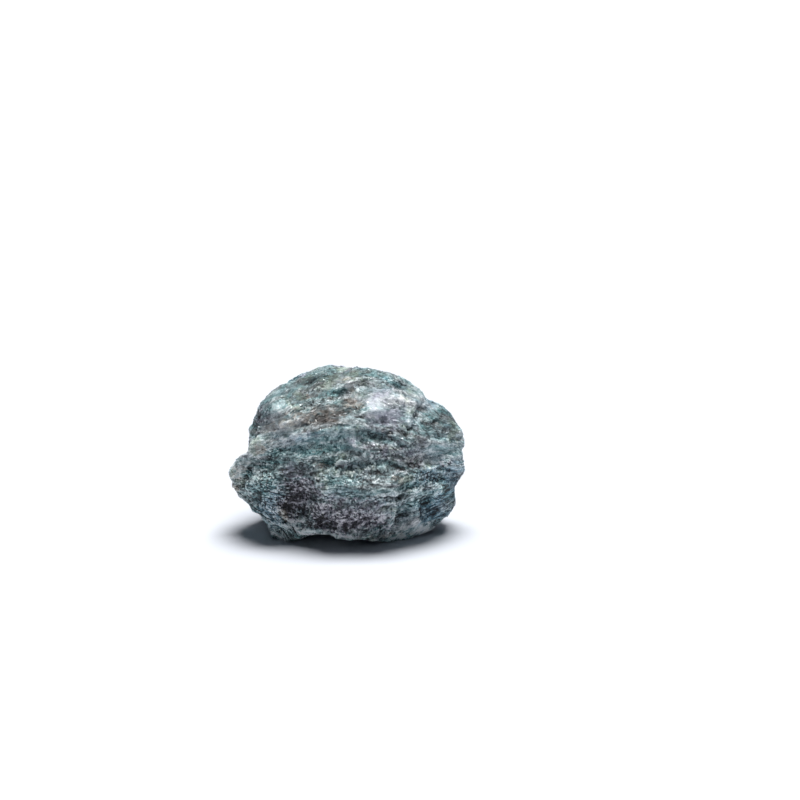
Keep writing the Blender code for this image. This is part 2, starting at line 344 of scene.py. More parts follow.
# %% The small steps of the best side
# Each step is (points u, v; how far its raised side reaches; height), mm
STEPS = {
    "top_arris": (((-7.1, 10.8), (-4.5, 12.4), (0.6, 14.3), (4.7, 15.9)), 2, 0.14),
    "brow": (((-20.6, 0), (-14.3, 5.4), (-8.6, 7.2), (-0.4, 8.9)), 1.8, 0.12),
    "brow_low": (((-11, 4.2), (-5.7, 5.3), (-2.4, 6.3), (1.4, 5.7)), 1.3, 0.12),
    "lobe": (((14.9, 6.7), (16.1, 6.3), (18, 7.1), (20, 9.4)), 1.5, 0.25),
    "mid_crack": (((6.1, 6.1), (8, 4.3), (10.2, 4.7), (12.8, 3.4)), 1.2, 0.14),
    "mid_step": (((-3, 1.4), (3, 0.6), (9, 1.2), (14, -0.4)), 1.4, 0.1),
    "sweep_lip": (((3.5, -9.4), (8.6, -8.2), (12.2, -8.2), (16.4, -6.6)), 1.8, 0.6),
    "corner_lip": (((8, -16.2), (9.2, -14), (9.6, -12.2), (11.2, -9.4)), 1.6, 0.7),
    "hollow_rim": (((-2, -1.2), (-4.4, -3.4), (-7.4, -4.9), (-6.8, -6.6), (-4.6, -7.8)), 2, 0.4),
    "right_step": (((16.2, -3.6), (19.6, -2.6), (22.8, -3.4)), 1.6, 0.5),
    "left_shelf": (((-18.6, -8.6), (-15.6, -6.6), (-13.4, -3.8), (-12.4, -0.4)), 2, 0.3),
    "right_lobe": (((17.2, -8.6), (16.4, -11.4), (15.6, -14.6)), 1.5, 0.5),
    "foot_lobe": (((-7, -15), (-10.6, -14.6), (-14.4, -13.4), (-18, -10.4)), 1.6, 0.5),
    "nub": (((-19.4, -1.6), (-20.2, -3.4), (-21.9, -5.2), (-22.8, -6.6)), 1.4, -0.3),
    "strip": (((-18.6, 3.6), (-17.4, 7.6), (-15.4, 11)), 1.4, -0.3),
}
# Each dent or lump is (middle u, v; half sizes; height; turn in degrees if it has one), mm
DENTS = (
    (-22.2, -3.8, 1.4, 2.2, 0.3), (-18, -6, 2, 2.4, 0.3), (-14.6, -12.2, 3, 2.2, 0.45, 35),
    (-12.5, 3.2, 5.6, 1.3, 0.6, 12), (-10.6, -8.8, 3, 4.8, -1.2, -12), (-6, 0.8, 5, 1, -0.15, 6),
    (-4.6, -14.2, 3.6, 1.2, -0.4, -10), (-3.1, 11.6, 2.4, 1, -0.2, 20), (-3, 4.6, 4.4, 1.1, 0.5, 4),
    (-0.6, -6.6, 6, 1.6, 0.35, -4), (-0.6, 13.6, 2.6, 1, 0.3, 20), (6.4, 10.8, 3.6, 2, 0.4, 8),
    (6.8, 8.2, 3, 1.2, 0.5), (9.6, 14.2, 4.2, 0.9, -0.15, -8), (10.4, -13.2, 1.2, 2.4, -0.7, -8),
    (12.7, 5.6, 1.4, 1.2, 1.1), (13.1, 7.8, 0.9, 2.2, 0.5, -25), (13.6, -12.8, 1.6, 2.2, 0.4),
    (14.2, 8.2, 1.1, 2.2, 0.6, -25), (14.6, 1.6, 1.8, 1.4, -0.4), (14.9, 10.4, 1.5, 1.7, 0.9),
    (15.6, -7, 4, 1.2, 0.45, 8), (16, -10.8, 1, 2.8, -0.6), (18, -10.2, 3, 1.2, -0.5, 20),
    (19, -10, 1.8, 2.6, 0.4), (20.4, 5.6, 1.2, 2, -0.2, 20), (20.8, 4.8, 2.6, 1.1, 0.35),
    (22.3, 3.7, 1.5, 1.1, 0.45),
)
# The same, for the rim of the stone
OUTLINE = (
    (-23.4, -4, 1.8, 3, 0.4), (-20.6, 1.6, 1.7, 1.5, -0.5, 40), (-10.5, 16, 4, 1.4, -0.35, 25),
    (-2, 17.6, 5.8, 1.8, 0.45), (23.4, -0.5, 1.6, 5, 0.35),
)
print(len(STEPS), "steps and", len(DENTS), "dents and lumps")

# %% [markdown]
# ## Fine ridges and cracks
#
# Thin pale ridges are worn edges of layers, and dark cracks are gaps where two layers have parted.
# Each is a line of points with a height and a tone, and the tone lightens or darkens the colour:
# wear and painted light on the ridges, strongest on the rims under the stone, which lie in shade,
# and painted shade in the cracks. Noise breaks every line up, as the real ones come and go along
# their length.

# %% The ridges and cracks of the best side
# Each line is (half width; height; tone, above 0 pale and below 0 dark; points u, v), mm
# Pale tones are wear and painted light, and the rims under the stone, which lie in shade, are painted
# palest. Dark tones are painted shade in the cracks
LINES = (
    (0.3, 0.1, 2.6, ((-10.4, -15), (-8.2, -15.4), (-6.2, -15.3), (-4, -15.8), (-2.4, -16.7), (1.8, -16.9))),
    (0.3, 0.1, 2, ((-17.6, -12), (-16.4, -13.6), (-15.4, -15.2), (-13.4, -16.7))),
    (0.34, 0.1, 2.2, ((8.2, -16.8), (11, -16.9), (13.4, -16.2), (15.4, -15.1), (18.2, -14.2), (21.4, -11))),
    (0.3, 0.15, 0.8, ((7.6, -16), (8.4, -14.6), (8.7, -12.8), (9.4, -11.2), (8.6, -10.2))),
    (0.26, 0.15, 0.7, ((-22.2, -5.8), (-20.7, -3.8), (-19.5, -1.6))),
    (0.3, 0.14, 0.9, ((-23.2, -2.1), (-22, -2.5), (-21.4, -3.4), (-21.8, -4.3), (-22.8, -4.6))),
    (0.26, 0.12, 0.7, ((-7.4, 12.9), (-4.6, 13.2), (-2, 13.6), (-0.2, 14.2), (2, 15), (5, 15.6))),
    (0.26, 0.05, 0.3, ((14.6, 7.2), (16.6, 7), (18.4, 7.6), (19.6, 9))),
    (0.24, 0.12, 0.6, ((0, -2.6), (2.4, -3.8), (3.6, -4.6))),
    (0.26, 0.15, 0.7, ((2.6, -7.4), (6, -8), (9.6, -7.9))),
    (0.26, 0.12, 0.5, ((5.2, -5.6), (8, -6), (11, -6.6), (13.8, -7.4))),
    (0.3, 0.15, 0.7, ((-4, -3.4), (-2.2, -2.2), (-1.4, -1.2))),
    (0.28, 0.12, 0.3, ((-7.8, -5.2), (-6.6, -5.8), (-4.4, -5.6), (-3, -4.4))),
    (0.24, 0.12, 0.5, ((-17, -9.6), (-16.4, -11.2), (-15.2, -12.6))),
    (0.3, -0.2, -1, ((9.2, -15), (9.5, -13.2), (10.3, -11.8), (11.4, -10.8), (13.2, -10.4), (15, -9))),
    (0.3, -0.17, -0.9, ((15.5, -13.6), (15.4, -11.8), (16.6, -10.4), (18.8, -10.2))),
    (0.22, -0.1, -0.6, ((-19.3, -2), (-20.1, -3.7), (-21.1, -5.2))),
    (0.28, -0.12, -0.8, ((-8.8, 4.7), (-6.6, 4.8), (-4.6, 5.2), (-2.6, 6.4), (-0.2, 5.6))),
    (0.3, -0.12, -0.9, ((-22.9, -3.2), (-22.6, -3.5))),
    (0.22, -0.12, -0.6, ((-12.4, 6.9), (-10.2, 7), (-7.4, 7.8))),
    (0.2, -0.1, -0.7, ((-5.2, 9.3), (-2, 9.5), (1.4, 9.4))),
    (0.3, -0.17, -0.9, ((-8.7, 11.5), (-7.8, 10.8), (-6.9, 10.2), (-5.2, 10.3))),
    (0.26, -0.14, -0.7, ((-4.8, 11.1), (-2.4, 11.3), (-1.5, 12))),
    (0.24, -0.12, -0.6, ((2.4, 14.4), (7.8, 14.8), (8.8, 14), (9.2, 13.2))),
    (0.26, -0.17, -0.9, ((7.2, 4.6), (9.2, 4.7), (10.6, 4.5), (11.6, 3.8), (12.1, 3.1))),
    (0.26, -0.14, -0.5, ((14.8, 6.2), (16.6, 6.3), (17.8, 6.7), (19, 7.4))),
    (0.24, -0.12, -0.5, ((17.4, 6), (17.9, 4.2), (18.6, 3.6))),
    (0.3, -0.12, -0.7, ((4.4, 1.2), (6.4, 1), (7.9, 1.9), (8.6, 3.2))),
    (0.26, -0.14, -0.6, ((18.6, -0.7), (19.8, -1.8), (21.2, -2.3), (22.4, -2.2))),
    (0.28, -0.12, -0.7, ((9.4, -2.2), (10.8, -2.9), (12.8, -2.8), (14.2, -1.8))),
    (0.26, -0.14, -0.8, ((4.2, -3.8), (6.4, -3.6), (8.3, -4.3))),
    (0.24, -0.14, -0.8, ((2.8, -5.2), (4.6, -5.6), (5.8, -6.9))),
    (0.24, -0.12, -0.7, ((6.4, -5.9), (9, -6.4), (10.2, -4.9))),
    (0.24, -0.12, -0.7, ((5.2, -8.5), (7.4, -9), (10, -8.6), (12.4, -8))),
    (0.26, -0.14, -0.7, ((-14.2, 2.2), (-12.4, 2.2), (-10.6, 2.9))),
    (0.26, -0.1, -0.6, ((-6.6, -1.6), (-4.4, -1.4), (-3, -1))),
    (0.24, -0.12, -0.7, ((-9.4, -4), (-6, -3.7), (-2.2, -4), (0.4, -3.8))),
    (0.28, -0.17, -0.9, ((-13.6, -8.4), (-13, -10.2), (-12.2, -11.4))),
    (0.28, -0.17, -0.9, ((-9.8, -14.4), (-8.2, -13.9), (-6, -13.2), (-4.2, -12.8))),
    (0.26, -0.14, -0.8, ((-15.4, -14.8), (-13.8, -15.4), (-11.8, -15.4))),
    (0.26, -0.14, -0.8, ((-2.2, -15.4), (-1, -15.8), (0.4, -15.4))),
    (0.28, -0.17, -0.8, ((1.8, 7.6), (3, 7.3), (4.6, 6.8))),
    (0.24, -0.14, -0.8, ((1.6, 4.8), (2.6, 4.2), (4.4, 4.6), (5.6, 3.8))),
    (0.28, -0.14, -0.7, ((-18.3, 8.8), (-18.5, 6.4), (-18.9, 4.2))),
)
print(len(LINES), "ridges and cracks")

# %% How steps, lines and ovals are worked out
# Half the width of a riser, how softly a line ends, and how wide its pale lip and dark foot are, mm
STEP_WIDTH = 0.28
STEP_FADE = 1.2
LIP = 0.4
OVAL_EDGE = 1.3


def oval(u, v, middle_u, middle_v, half_u, half_v, strength, turn=0.0):
    """A soft oval patch: full strength in the middle, fading past its half sizes."""
    c = math.cos(math.radians(turn))
    s = math.sin(math.radians(turn))
    along = ((u - middle_u) * c + (v - middle_v) * s) / half_u
    across = ((v - middle_v) * c - (u - middle_u) * s) / half_v
    return strength * np.exp(-((along**2 + across**2) ** OVAL_EDGE))


def distance_to_step(u, v, points):
    """Distance to a line of points, positive on its left hand, and how far past its ends."""
    nearest = np.full(len(u), np.inf)
    signed = np.zeros(len(u))
    beyond = np.zeros(len(u))
    for number, (start, end) in enumerate(zip(points, points[1:])):
        run_u, run_v = end[0] - start[0], end[1] - start[1]
        length = math.hypot(run_u, run_v)
        along = ((u - start[0]) * run_u + (v - start[1]) * run_v) / length
        inside = np.clip(along, 0.0, length)
        off_u = u - start[0] - run_u * inside / length
        off_v = v - start[1] - run_v * inside / length
        distance = np.hypot(off_u, off_v)
        side = np.where(run_u * off_v - run_v * off_u >= 0.0, 1.0, -1.0)
        closer = distance < nearest
        nearest = np.where(closer, distance, nearest)
        signed = np.where(closer, distance * side, signed)
        past = np.zeros(len(u))
        if number == 0:
            past = np.maximum(past, -along)
        if number == len(points) - 2:
            past = np.maximum(past, along - length)
        beyond = np.where(closer, past, beyond)
    return signed, beyond


def step_shape(u, v, points, reach, height):
    """Height of a step; its lip gets wear and a painted highlight (1), its foot painted shade (-1)."""
    signed, beyond = distance_to_step(u, v, points)
    fade = np.exp(-((beyond / STEP_FADE) ** 2))
    behind = np.maximum(signed, 0.0) / reach
    raised = step_up(signed, -STEP_WIDTH, STEP_WIDTH) * np.exp(-(behind**2))
    lip = np.exp(-(((signed - LIP) / LIP) ** 2)) - np.exp(-(((signed + LIP) / LIP) ** 2))
    return height * raised * fade, lip * fade * np.sign(height)

# %% [markdown]
# ## Carving the skin
#
# Every form above is a height along the skin's normal, so the heights are added up and applied
# once. The rock could be sculpted by hand instead, but named steps can be changed one at a time.
# The lines wander a little with noise, so that no edge is straight. The sides that the lines don't
# reach get broken ledges, one a layer. The feet are left alone, because the stone rests on them.
#
# Two attributes are painted on the way, for the colours: `crest` says what stands proud, and `line`
# says where a ridge or a crack runs. Both make ridges and edges paler, as wear and painted
# highlight, and hollows and cracks darker, as painted shade.

# %% Make the breaks crisp
# Rounds of smoothing, the share of the difference that is added, and its limits in mm
FORM_SPREAD = 60
CRISPER = 0.3
PROUD_LIMITS = (-0.8, 0.25)
LEDGE = {"thickness": 2.3, "run": 5.5, "height": 1.1}
LEDGE_RISER = (0.38, 0.58)
NEXT_LAYER = 0.77
# Grains and crystals stand this far out of the skin, so the skin starts that much deeper, mm
ROOM_FOR_GRAINS = 0.4


def edges_of(mesh):
    """The two ends of each edge, as numbers of points."""
    return read_all(mesh.edges, "vertices", 2, np.int32)


def normals_of(mesh):
    return read_all(mesh.vertices, "normal", 3).astype(float)


def evened(points, edges, rounds):
    """The points after each has moved to the mean of its neighbours this many times."""
    count = np.bincount(edges.ravel(), minlength=len(points))
    for _ in range(rounds):
        total = np.empty_like(points)
        for axis in range(3):
            one = np.bincount(edges[:, 0], points[edges[:, 1], axis], len(points))
            other = np.bincount(edges[:, 1], points[edges[:, 0], axis], len(points))
            total[:, axis] = one + other
        points = total / count[:, None]
    return points


def standing_proud(mesh, rounds):
    """How far each point stands out of a smoothed copy of the mesh, in mm."""
    points = points_of(mesh)
    return ((points - evened(points, edges_of(mesh), rounds)) * normals_of(mesh)).sum(axis=1)


def put_attribute(mesh, name, values):
    layer = mesh.attributes.new(name, "FLOAT", "POINT")
    layer.data.foreach_set("value", values.astype(np.float32))


def ledges(points, u, v, w):
    """Broken ledges for the other sides. Each layer ends at its own place, with a sharp step."""
    wave = lumpy(points, LAYER_WARP, SEEDS["layers"])
    place = layer_at(u, v, w, wave) / LEDGE["thickness"]
    number = np.floor(place)
    share = step_up(place - number, *LEDGE_RISER)

    def end_of(layer):
        spot = np.column_stack((u / LEDGE["run"], w / LEDGE["run"], layer * NEXT_LAYER))
        return lumpy(spot, 1.0, SEEDS["ledges"])

    here = end_of(number)
    above = end_of(number + 1.0)
    return LEDGE["height"] * (here + (above - here) * share)


# %% Cut the steps and draw the lines
# Where each kind of form begins and is in full: w or -w in mm, and for the feet the height
BEST_SIDE = (2.0, 5.0)
OTHER_SIDE = (2.0, 7.0)
RIM = (-10.0, -6.0)
FEET = (0.3, 2.0)
STEP_WANDER = 0.55
WANDER_LUMPS = (2.2, 1.7)
# How much paler each step's lip and darker its foot are painted: wear and painted highlight on the lip,
# painted shade at the foot
LIP_TONE = 0.45
CREST_SPREAD = 20
CREST_FULL = 0.35
CREST_MOST = 1.5
# Pale line tones may reach 2, for painted light on the rims under the stone, which lie in shade
LINE_LIMITS = (-1.0, 2.0)
LINE_BREAKS = {"middle": 0.75, "swing": 0.9, "most": 1.2, "lump": 1.3}


def cut_steps(u, v):
    """Height of the small steps and dents; their lips get wear and painted highlight, feet painted shade."""
    height = np.zeros(len(u))
    wear_highlight_and_shade = np.zeros(len(u))
    for line, reach, step in STEPS.values():
        rise, lip = step_shape(u, v, line, reach, step)
        height += rise
        wear_highlight_and_shade += lip * LIP_TONE
    for dent in DENTS:
        height += oval(u, v, *dent)
    return height, wear_highlight_and_shade


def draw_lines(points, u, v):
    """Height of the ridges and cracks, and how pale or dark they are."""
    swing = LINE_BREAKS["swing"] * lumpy(points, LINE_BREAKS["lump"], SEEDS["lines"])
    broken = np.clip(LINE_BREAKS["middle"] + swing, 0.0, LINE_BREAKS["most"])
    height = np.zeros(len(u))
    drawn = np.zeros(len(u))
    for width, rise, tone, line in LINES:
        signed, beyond = distance_to_step(u, v, line)
        near = np.exp(-((signed / width) ** 2) - (beyond / STEP_FADE) ** 2) * broken
        height += near * rise
        drawn += near * tone
    return height, drawn


def carve(obj):
    mesh = obj.data
    points = points_of(mesh)
    normals = normals_of(mesh)
    height = CRISPER * np.clip(standing_proud(mesh, FORM_SPREAD), *PROUD_LIMITS) - ROOM_FOR_GRAINS
    u, v, w = stone_axes(*points.T)
    wander_u = u + STEP_WANDER * lumpy(points, WANDER_LUMPS[0], SEEDS["wander u"])
    wander_v = v + STEP_WANDER * lumpy(points, WANDER_LUMPS[1], SEEDS["wander v"])
    best = step_up(w, *BEST_SIDE)
    steps, wear_highlight_and_shade = cut_steps(wander_u, wander_v)
    lines, drawn = draw_lines(points, wander_u, wander_v)
    height += best * (steps + lines)
    for swell in OUTLINE:
        height += step_up(w, *RIM) * oval(u, v, *swell)
    height += step_up(-w, *OTHER_SIDE) * ledges(points, u, v, w)
    height *= step_up(points[:, 2], *FEET)
    points += normals * height[:, None]
    mesh.vertices.foreach_set("co", (points * MM).astype(np.float32).ravel())
    mesh.update()
    # `crest` makes what stands proud paler and hollows darker, with the steps' lips and feet: wear, painted
    # highlight and painted shade
    crest = standing_proud(mesh, CREST_SPREAD) / CREST_FULL
    put_attribute(mesh, "crest", np.clip(crest + best * wear_highlight_and_shade, -CREST_MOST, CREST_MOST))
    put_attribute(mesh, "line", np.clip(best * drawn, *LINE_LIMITS))
    print("pushed from", round(float(height.min()), 2), "to", round(float(height.max()), 2), "mm")


carve(skin)

# %% [markdown]
# ## Where each mineral lies
#
# The minerals aren't mixed evenly. A ruby-bearing zone, a vein of quartz or a band of stained mica
# each has its place. On the best side every zone is a set of ovals in u and v, and where two
# overlap the stronger one counts. Elsewhere the rock is free to vary, so large soft noise places the
# same zones. The result is painted on the skin as one attribute a zone, mostly from 0 to 1. The
# layers, the crystals and the colours read it.
#
# Seven zones are minerals or stains. `pale` is in part also painted light: some of its ovals lighten
# undersides, hollows and slopes that lie in shade. The other three say how the rock looks: `dark`
# is darker, pitted rock and in part painted shade, under ledges, in hollows and on the top, which
# the lamp lights most, `smooth` is a flat break with little relief, and `crumbly` is rough with
# loose grains.

# %% The zones of the best side
# Each oval is (middle u, v; half sizes; strength; turn in degrees if it has one), mm, from
# the left to the right
ZONES = {
    "ruby": (
        (-17, 7.4, 1.7, 3.4, 0.3, -14), (-11.2, -9.6, 2.8, 3.4, 1), (-9.8, -8, 4, 4.6, 0.95, -20),
        (-9, -3.4, 3, 1.8, 0.45, 20), (-5.4, -11.6, 3.8, 3.2, 0.85), (-4.6, 7.2, 5, 0.8, 0.4, 10),
        (-1.6, -10.2, 4, 1.6, 0.6, -10), (-0.6, -2.2, 2.2, 0.8, 0.45, 10), (0.4, -13.4, 9.6, 2.8, 0.95),
        (4, -9.6, 5, 1.4, 0.5, -8), (7.4, 0.6, 5, 2.6, 0.4), (12.4, 3.6, 2.6, 2.4, 0.3),
        (13.6, -1.6, 2.2, 1.4, 0.5), (19.6, -2.3, 1.6, 0.6, 0.7, -10),
    ),
    # pale is quartz and milky rock, and in part painted light on undersides, hollows and slopes that lie in
    # shade
    "pale": (
        (-22.6, -3.4, 1.4, 2.2, 0.6), (-22.2, -3.6, 1.6, 2.2, 1.1), (-19.2, 0.4, 4.8, 1.6, 1.3, 49),
        (-19, -1.2, 2.4, 1.7, 1.5, 30), (-18.6, -3.6, 2, 1.8, 1.5), (-16.7, 3.4, 1.7, 1.2, 0.9, 30),
        (-16, 4.8, 2.4, 0.9, 0.7, 42), (-15.4, -2.6, 2, 0.9, 0.5, 20),
        (-15.2, -11.2, 1.3, 2.2, 0.7, 22), (-14.9, -12.6, 2.4, 2, 1.3, 40),
        (-14.6, 3.8, 4.8, 1.4, 1.2, 20), (-14.6, 12.6, 2.4, 0.6, 0.5, 38), (-13.4, 9.2, 1.6, 1.4, 1.8),
        (-13.2, 6, 5.2, 1.9, 1.1, 18), (-12, -13.3, 1.8, 1.6, 2), (-11.4, 9.4, 1.9, 1.6, 1.2),
        (-11, 8.6, 2.4, 1.6, 0.8), (-10.7, -13.3, 1.3, 0.7, 3), (-10.2, -7.4, 0.8, 2.4, 0.5),
        (-10, 9, 1.8, 1.2, 0.4, 20), (-9, 2.9, 7.6, 1.6, 1.3, 4), (-8.8, 12.9, 2, 1.4, 0.6, 20),
        (-6.2, -5, 1.8, 0.8, 0.2, -20), (-2, 13.7, 3.6, 0.5, 0.55, 24), (-1, 14.6, 3, 0.9, 0.3, 10),
        (-0.6, 1, 9, 3.2, 0.45), (-0.6, 4.8, 1.8, 0.7, 0.6), (0.2, -2.9, 1.8, 0.5, 0.3, 15),
        (0.2, 12.4, 3.6, 0.8, 0.9, 20), (0.4, 13.3, 1.7, 0.9, 1.7, 20), (0.8, 2.8, 2, 0.5, 0.5),
        (2, -15, 8, 1.4, 0.35), (2, -12, 5, 1, 0.3, -8), (2.4, -16.6, 8, 0.45, 0.6),
        (3, -1.4, 1.6, 0.8, 0.5), (4.2, -3.4, 1, 0.6, 0.4), (4.3, -10, 1.9, 1.5, 0.7),
        (5.2, 9.4, 2.4, 1.5, 0.65), (5.8, 10.6, 2.4, 2.4, 1), (6.2, -15.8, 2, 0.8, 0.6),
        (7, 11.2, 4, 1.9, 0.8, 8), (7, 15.6, 4, 0.5, 0.5, -4), (7.2, 7.7, 4.2, 1.3, 1.2),
        (7.6, -13, 1.9, 1.6, 1.5), (8.4, -6.8, 2.8, 0.8, 0.35), (8.7, -13, 0.7, 3, 0.55, -12),
        (9, 6.4, 3.6, 1.8, 0.1), (10.4, 11.1, 2.2, 1.4, 1, 10), (10.8, 15.4, 2.6, 0.7, 0.4, -16),
        (11.9, 10.9, 1.6, 1.3, 2), (12.2, 13.8, 2.6, 0.9, 0.25, -40), (12.3, -12.6, 1.2, 1.5, 0.6),
        (12.7, 5.6, 1.6, 1.2, 1.3), (13.2, -14.8, 4.4, 1.6, 2.1), (13.4, -13, 1.5, 2, 0.5),
        (13.4, 8.2, 1.1, 2.6, 0.3, -25), (14, -13.6, 1.1, 1.6, 0.5), (14, 12.4, 1.2, 1.8, 0.2, 20),
        (14.9, 11.8, 1.4, 1.8, 0.15, 20), (15.2, 10.4, 1, 1.2, 0.8), (15.4, -7.4, 4.6, 1.5, 0.65, 8),
        (17, -6.4, 2, 1, 0.4), (17.3, -0.2, 2.6, 1.8, 1.4), (17.6, 9, 2.2, 0.8, 0.7, 25),
        (19, -10.2, 1.7, 2.6, 0.45), (20, 0.4, 3.2, 2.6, 1.1), (21.2, -3.6, 1.8, 2.2, 0.5),
        (22.3, 3.8, 1.7, 1.3, 0.9), (22.4, -8, 0.8, 4.6, 0.45), (22.6, 4.8, 1.2, 1.7, 0.7),
    ),
    "teal": (
        (-19, -6, 2.6, 2.4, 0.8), (-17.6, -5, 3.4, 3.6, 0.85), (-16.4, -5, 2.2, 4, 1, 10),
        (-15, -11.4, 4, 4.6, 1, 30), (-14.6, -1, 4, 1.7, 0.9, 35), (-13.5, 9.4, 1.8, 1.4, 1),
        (-6.8, 1, 6.6, 2.4, 0.85, 4), (-3.1, 11.7, 2.6, 1.3, 0.6, 20), (-0.6, -6.4, 7.4, 2, 0.6, -4),
        (10.6, 14.6, 4.4, 1, 0.35, -14), (11.6, -13.4, 2.4, 2.6, 0.9), (14.8, -7.2, 4.4, 1.4, 0.8),
        (15, 12.6, 1.4, 2.4, 0.2, 20), (16.4, -11, 5, 3.6, 1, 20), (16.6, -4.8, 3.6, 2, 0.9),
        (17.4, 8.2, 2.8, 1.5, 0.8, 20), (19.6, 0.2, 4, 2.6, 1), (20.4, -2.6, 2.6, 2.6, 0.7),
        (21, -5.6, 2.2, 3.6, 0.9),
    ),
    "green": (
        (-22.4, -4.6, 1.4, 2.8, 0.5), (-18, 1.8, 4, 1.2, 0.6, 49), (-13, 7, 2.6, 1.6, 0.35, 20),
        (-12.6, -11.6, 1, 2.2, 0.6), (-7.5, 12.4, 7, 3.2, 0.5, 24), (-5.5, -5.8, 2, 2.2, 0.6),
        (-3.2, -0.6, 3.6, 1.2, 0.6, 8), (-0.8, 16.2, 6, 1.8, 0.8), (-0.3, -4.1, 3, 1.8, 0.4),
        (12, -5.2, 2.4, 1, 0.9), (12.2, 11, 1, 1, 0.8), (13.8, 12.8, 1.6, 1.6, 0.5),
        (16.6, -2.4, 1.6, 1.2, 0.7), (21.3, 4.1, 1.6, 2.6, 0.8),
    ),
    "lilac": (
        (-18, 7.6, 1, 4.4, 0.4, -18), (-11.4, -2.8, 2.4, 1.8, 0.6), (-9, 3.6, 4, 0.8, 0.4, 14),
        (-1.6, -8.6, 5, 1.4, 0.6, -10), (2, -12, 8, 3, 0.6), (2.6, 2.4, 3.4, 1.6, 0.5),
        (6.6, 11.2, 3.8, 2.2, 0.6, 10), (9, 6.8, 5, 3.2, 0.7), (10.6, 0.6, 5.6, 2, 0.6),
        (14.9, 1.7, 1.8, 1.5, 0.6), (20, 8.7, 2, 1.6, 0.5), (20.7, -1.7, 1.4, 0.7, 0.9, -8),
    ),
    "blue": (
        (-15.2, -10.4, 2.4, 3, 1, 20), (-15, -11.6, 3.4, 3.8, 1, 30), (-11, 3.2, 4.4, 1.2, 0.7, 14),
        (3.4, -3.6, 3.6, 1.4, 0.5), (9, -9.8, 3.4, 1.6, 0.7), (9, 13.4, 4.4, 1.6, 0.4, -14),
        (13, -13.6, 2.6, 2.4, 0.6), (14.4, 9.6, 1.6, 1.6, 0.6), (16.6, 9.9, 3, 1.8, 1, 10),
        (17.2, -3, 3, 5, 0.7), (18.4, -10.8, 4.6, 2.8, 1, 20), (22.4, -4.6, 2.6, 3.6, 1),
    ),
    "warm": (
        (-22.6, -6.9, 0.8, 1, 1), (-22, -3.4, 1.4, 2, 0.4), (-17.4, 1.2, 1.3, 0.9, 0.7, 40),
        (-12.4, 6.4, 4.6, 1.5, 0.45, 18), (-12.3, -12, 1.2, 1.6, 0.8), (-10.4, 8, 3, 1.6, 0.4, 20),
        (-8.6, 11.5, 0.6, 0.6, 0.8), (-5.2, 7.6, 1.5, 0.9, 0.8), (-5, 14.6, 6.4, 1.6, 0.15, 14),
        (-4.8, 7.8, 6.4, 2.2, 0.55, 12), (-4.6, -2.2, 1.8, 0.9, 0.6), (0.6, 15, 3.2, 0.6, 0.35, 14),
        (1, 12.8, 2, 1.2, 0.4), (1.2, 10.1, 2, 1.5, 0.7, 30), (8, -16.4, 5, 0.5, 0.4),
        (9.8, -5.1, 1.6, 0.6, 0.6), (12.2, 10.9, 1.2, 1, 0.3),
    ),
    "smooth": (
        (-13.4, -1.4, 3.4, 2, 0.3, 10), (-13.4, 9, 2, 1.8, 0.9), (-12.4, 6.8, 4, 1.8, 0.6, 18),
        (-9.4, 14, 7, 2.6, 0.9, 24), (-4.4, 7.8, 5.4, 1.8, 1, 12), (-1, -7, 5, 2, 0.5, -6),
        (-1, 16.4, 6, 1.6, 0.7), (6.6, 10.8, 4.4, 3.2, 1, 10), (8, -7, 6, 1.6, 0.5, -6),
        (8.6, 7, 3.2, 1.8, 0.8), (13, -13.2, 3, 2.8, 0.8), (14.6, 2.8, 1.2, 2.2, 0.6),
        (14.6, 11.6, 2, 2.6, 0.9, 20), (17.2, 8.8, 3, 2.2, 0.9, 10), (17.6, -1.4, 2.4, 1.6, 0.6),
        (18.6, -11.6, 3.4, 2.6, 0.7, 30), (19.4, 0.8, 3.2, 1.8, 0.9, -10), (20, 5.6, 2.6, 3, 0.6),
        (21, -8, 2.4, 4, 0.7), (22, -4.2, 1.8, 2, 0.8),
    ),
    "crumbly": (
        (-22, -3.4, 2, 2.4, 0.7), (-17.6, -6, 4.4, 4.6, 1), (-16.6, 6.2, 1.8, 2.4, 0.7),
        (-14.6, 1.6, 3.4, 2.2, 0.8, 20), (-13.4, -13.6, 4.2, 3.2, 0.9, 20), (-11, 9.4, 2, 1.6, 0.7),
        (-9.6, -2.4, 2, 1.2, 0.6), (-2.6, 0.8, 5, 1.6, 0.4), (4.4, 5.4, 3.6, 2.6, 0.9),
        (4.6, -2.4, 6, 2.2, 0.7), (6.8, -12.8, 2.6, 1.4, 0.9), (8.4, 1.6, 5.6, 2.4, 0.9),
        (12.4, -2.8, 3.2, 1.6, 0.7), (13, 6.4, 2.4, 2, 0.7), (15.6, -5, 3.4, 1.6, 0.6),
    ),
    # dark is darker rock, and in part painted shade: under ledges, in hollows, and on the top and upward
    # faces that the lamp lights most
    "dark": (
        (-22.4, -6.4, 0.7, 1.4, 0.9, 10), (-20.2, -3.4, 0.4, 2, 0.3, -20), (-20, -6.4, 0.9, 1, 0.5),
        (-19, -5.8, 1.8, 1.6, 0.35), (-18.6, -6.7, 1.9, 1.8, 1.1), (-18.5, 6.6, 0.8, 3.2, 0.7, -8),
        (-18.4, -12.8, 1.6, 1.9, 1.2, 20), (-18, -7.2, 2.6, 2.2, 0.75),
        (-17.7, 6.6, 1.5, 3.8, 0.5, -14), (-16.4, -4, 3.2, 3.4, 0.6), (-16.2, -10.8, 3, 2.6, 0.55),
        (-15.6, 8.8, 0.6, 0.9, 0.6), (-15.4, -1, 3, 0.9, 0.15, 40), (-14.4, -15.2, 0.9, 0.5, 0.7, -20),
        (-14.4, -14.6, 3, 0.5, 0.6, -18), (-14, -0.4, 1.8, 1.2, 0.35), (-13.2, -8.8, 0.9, 1.8, 0.6),
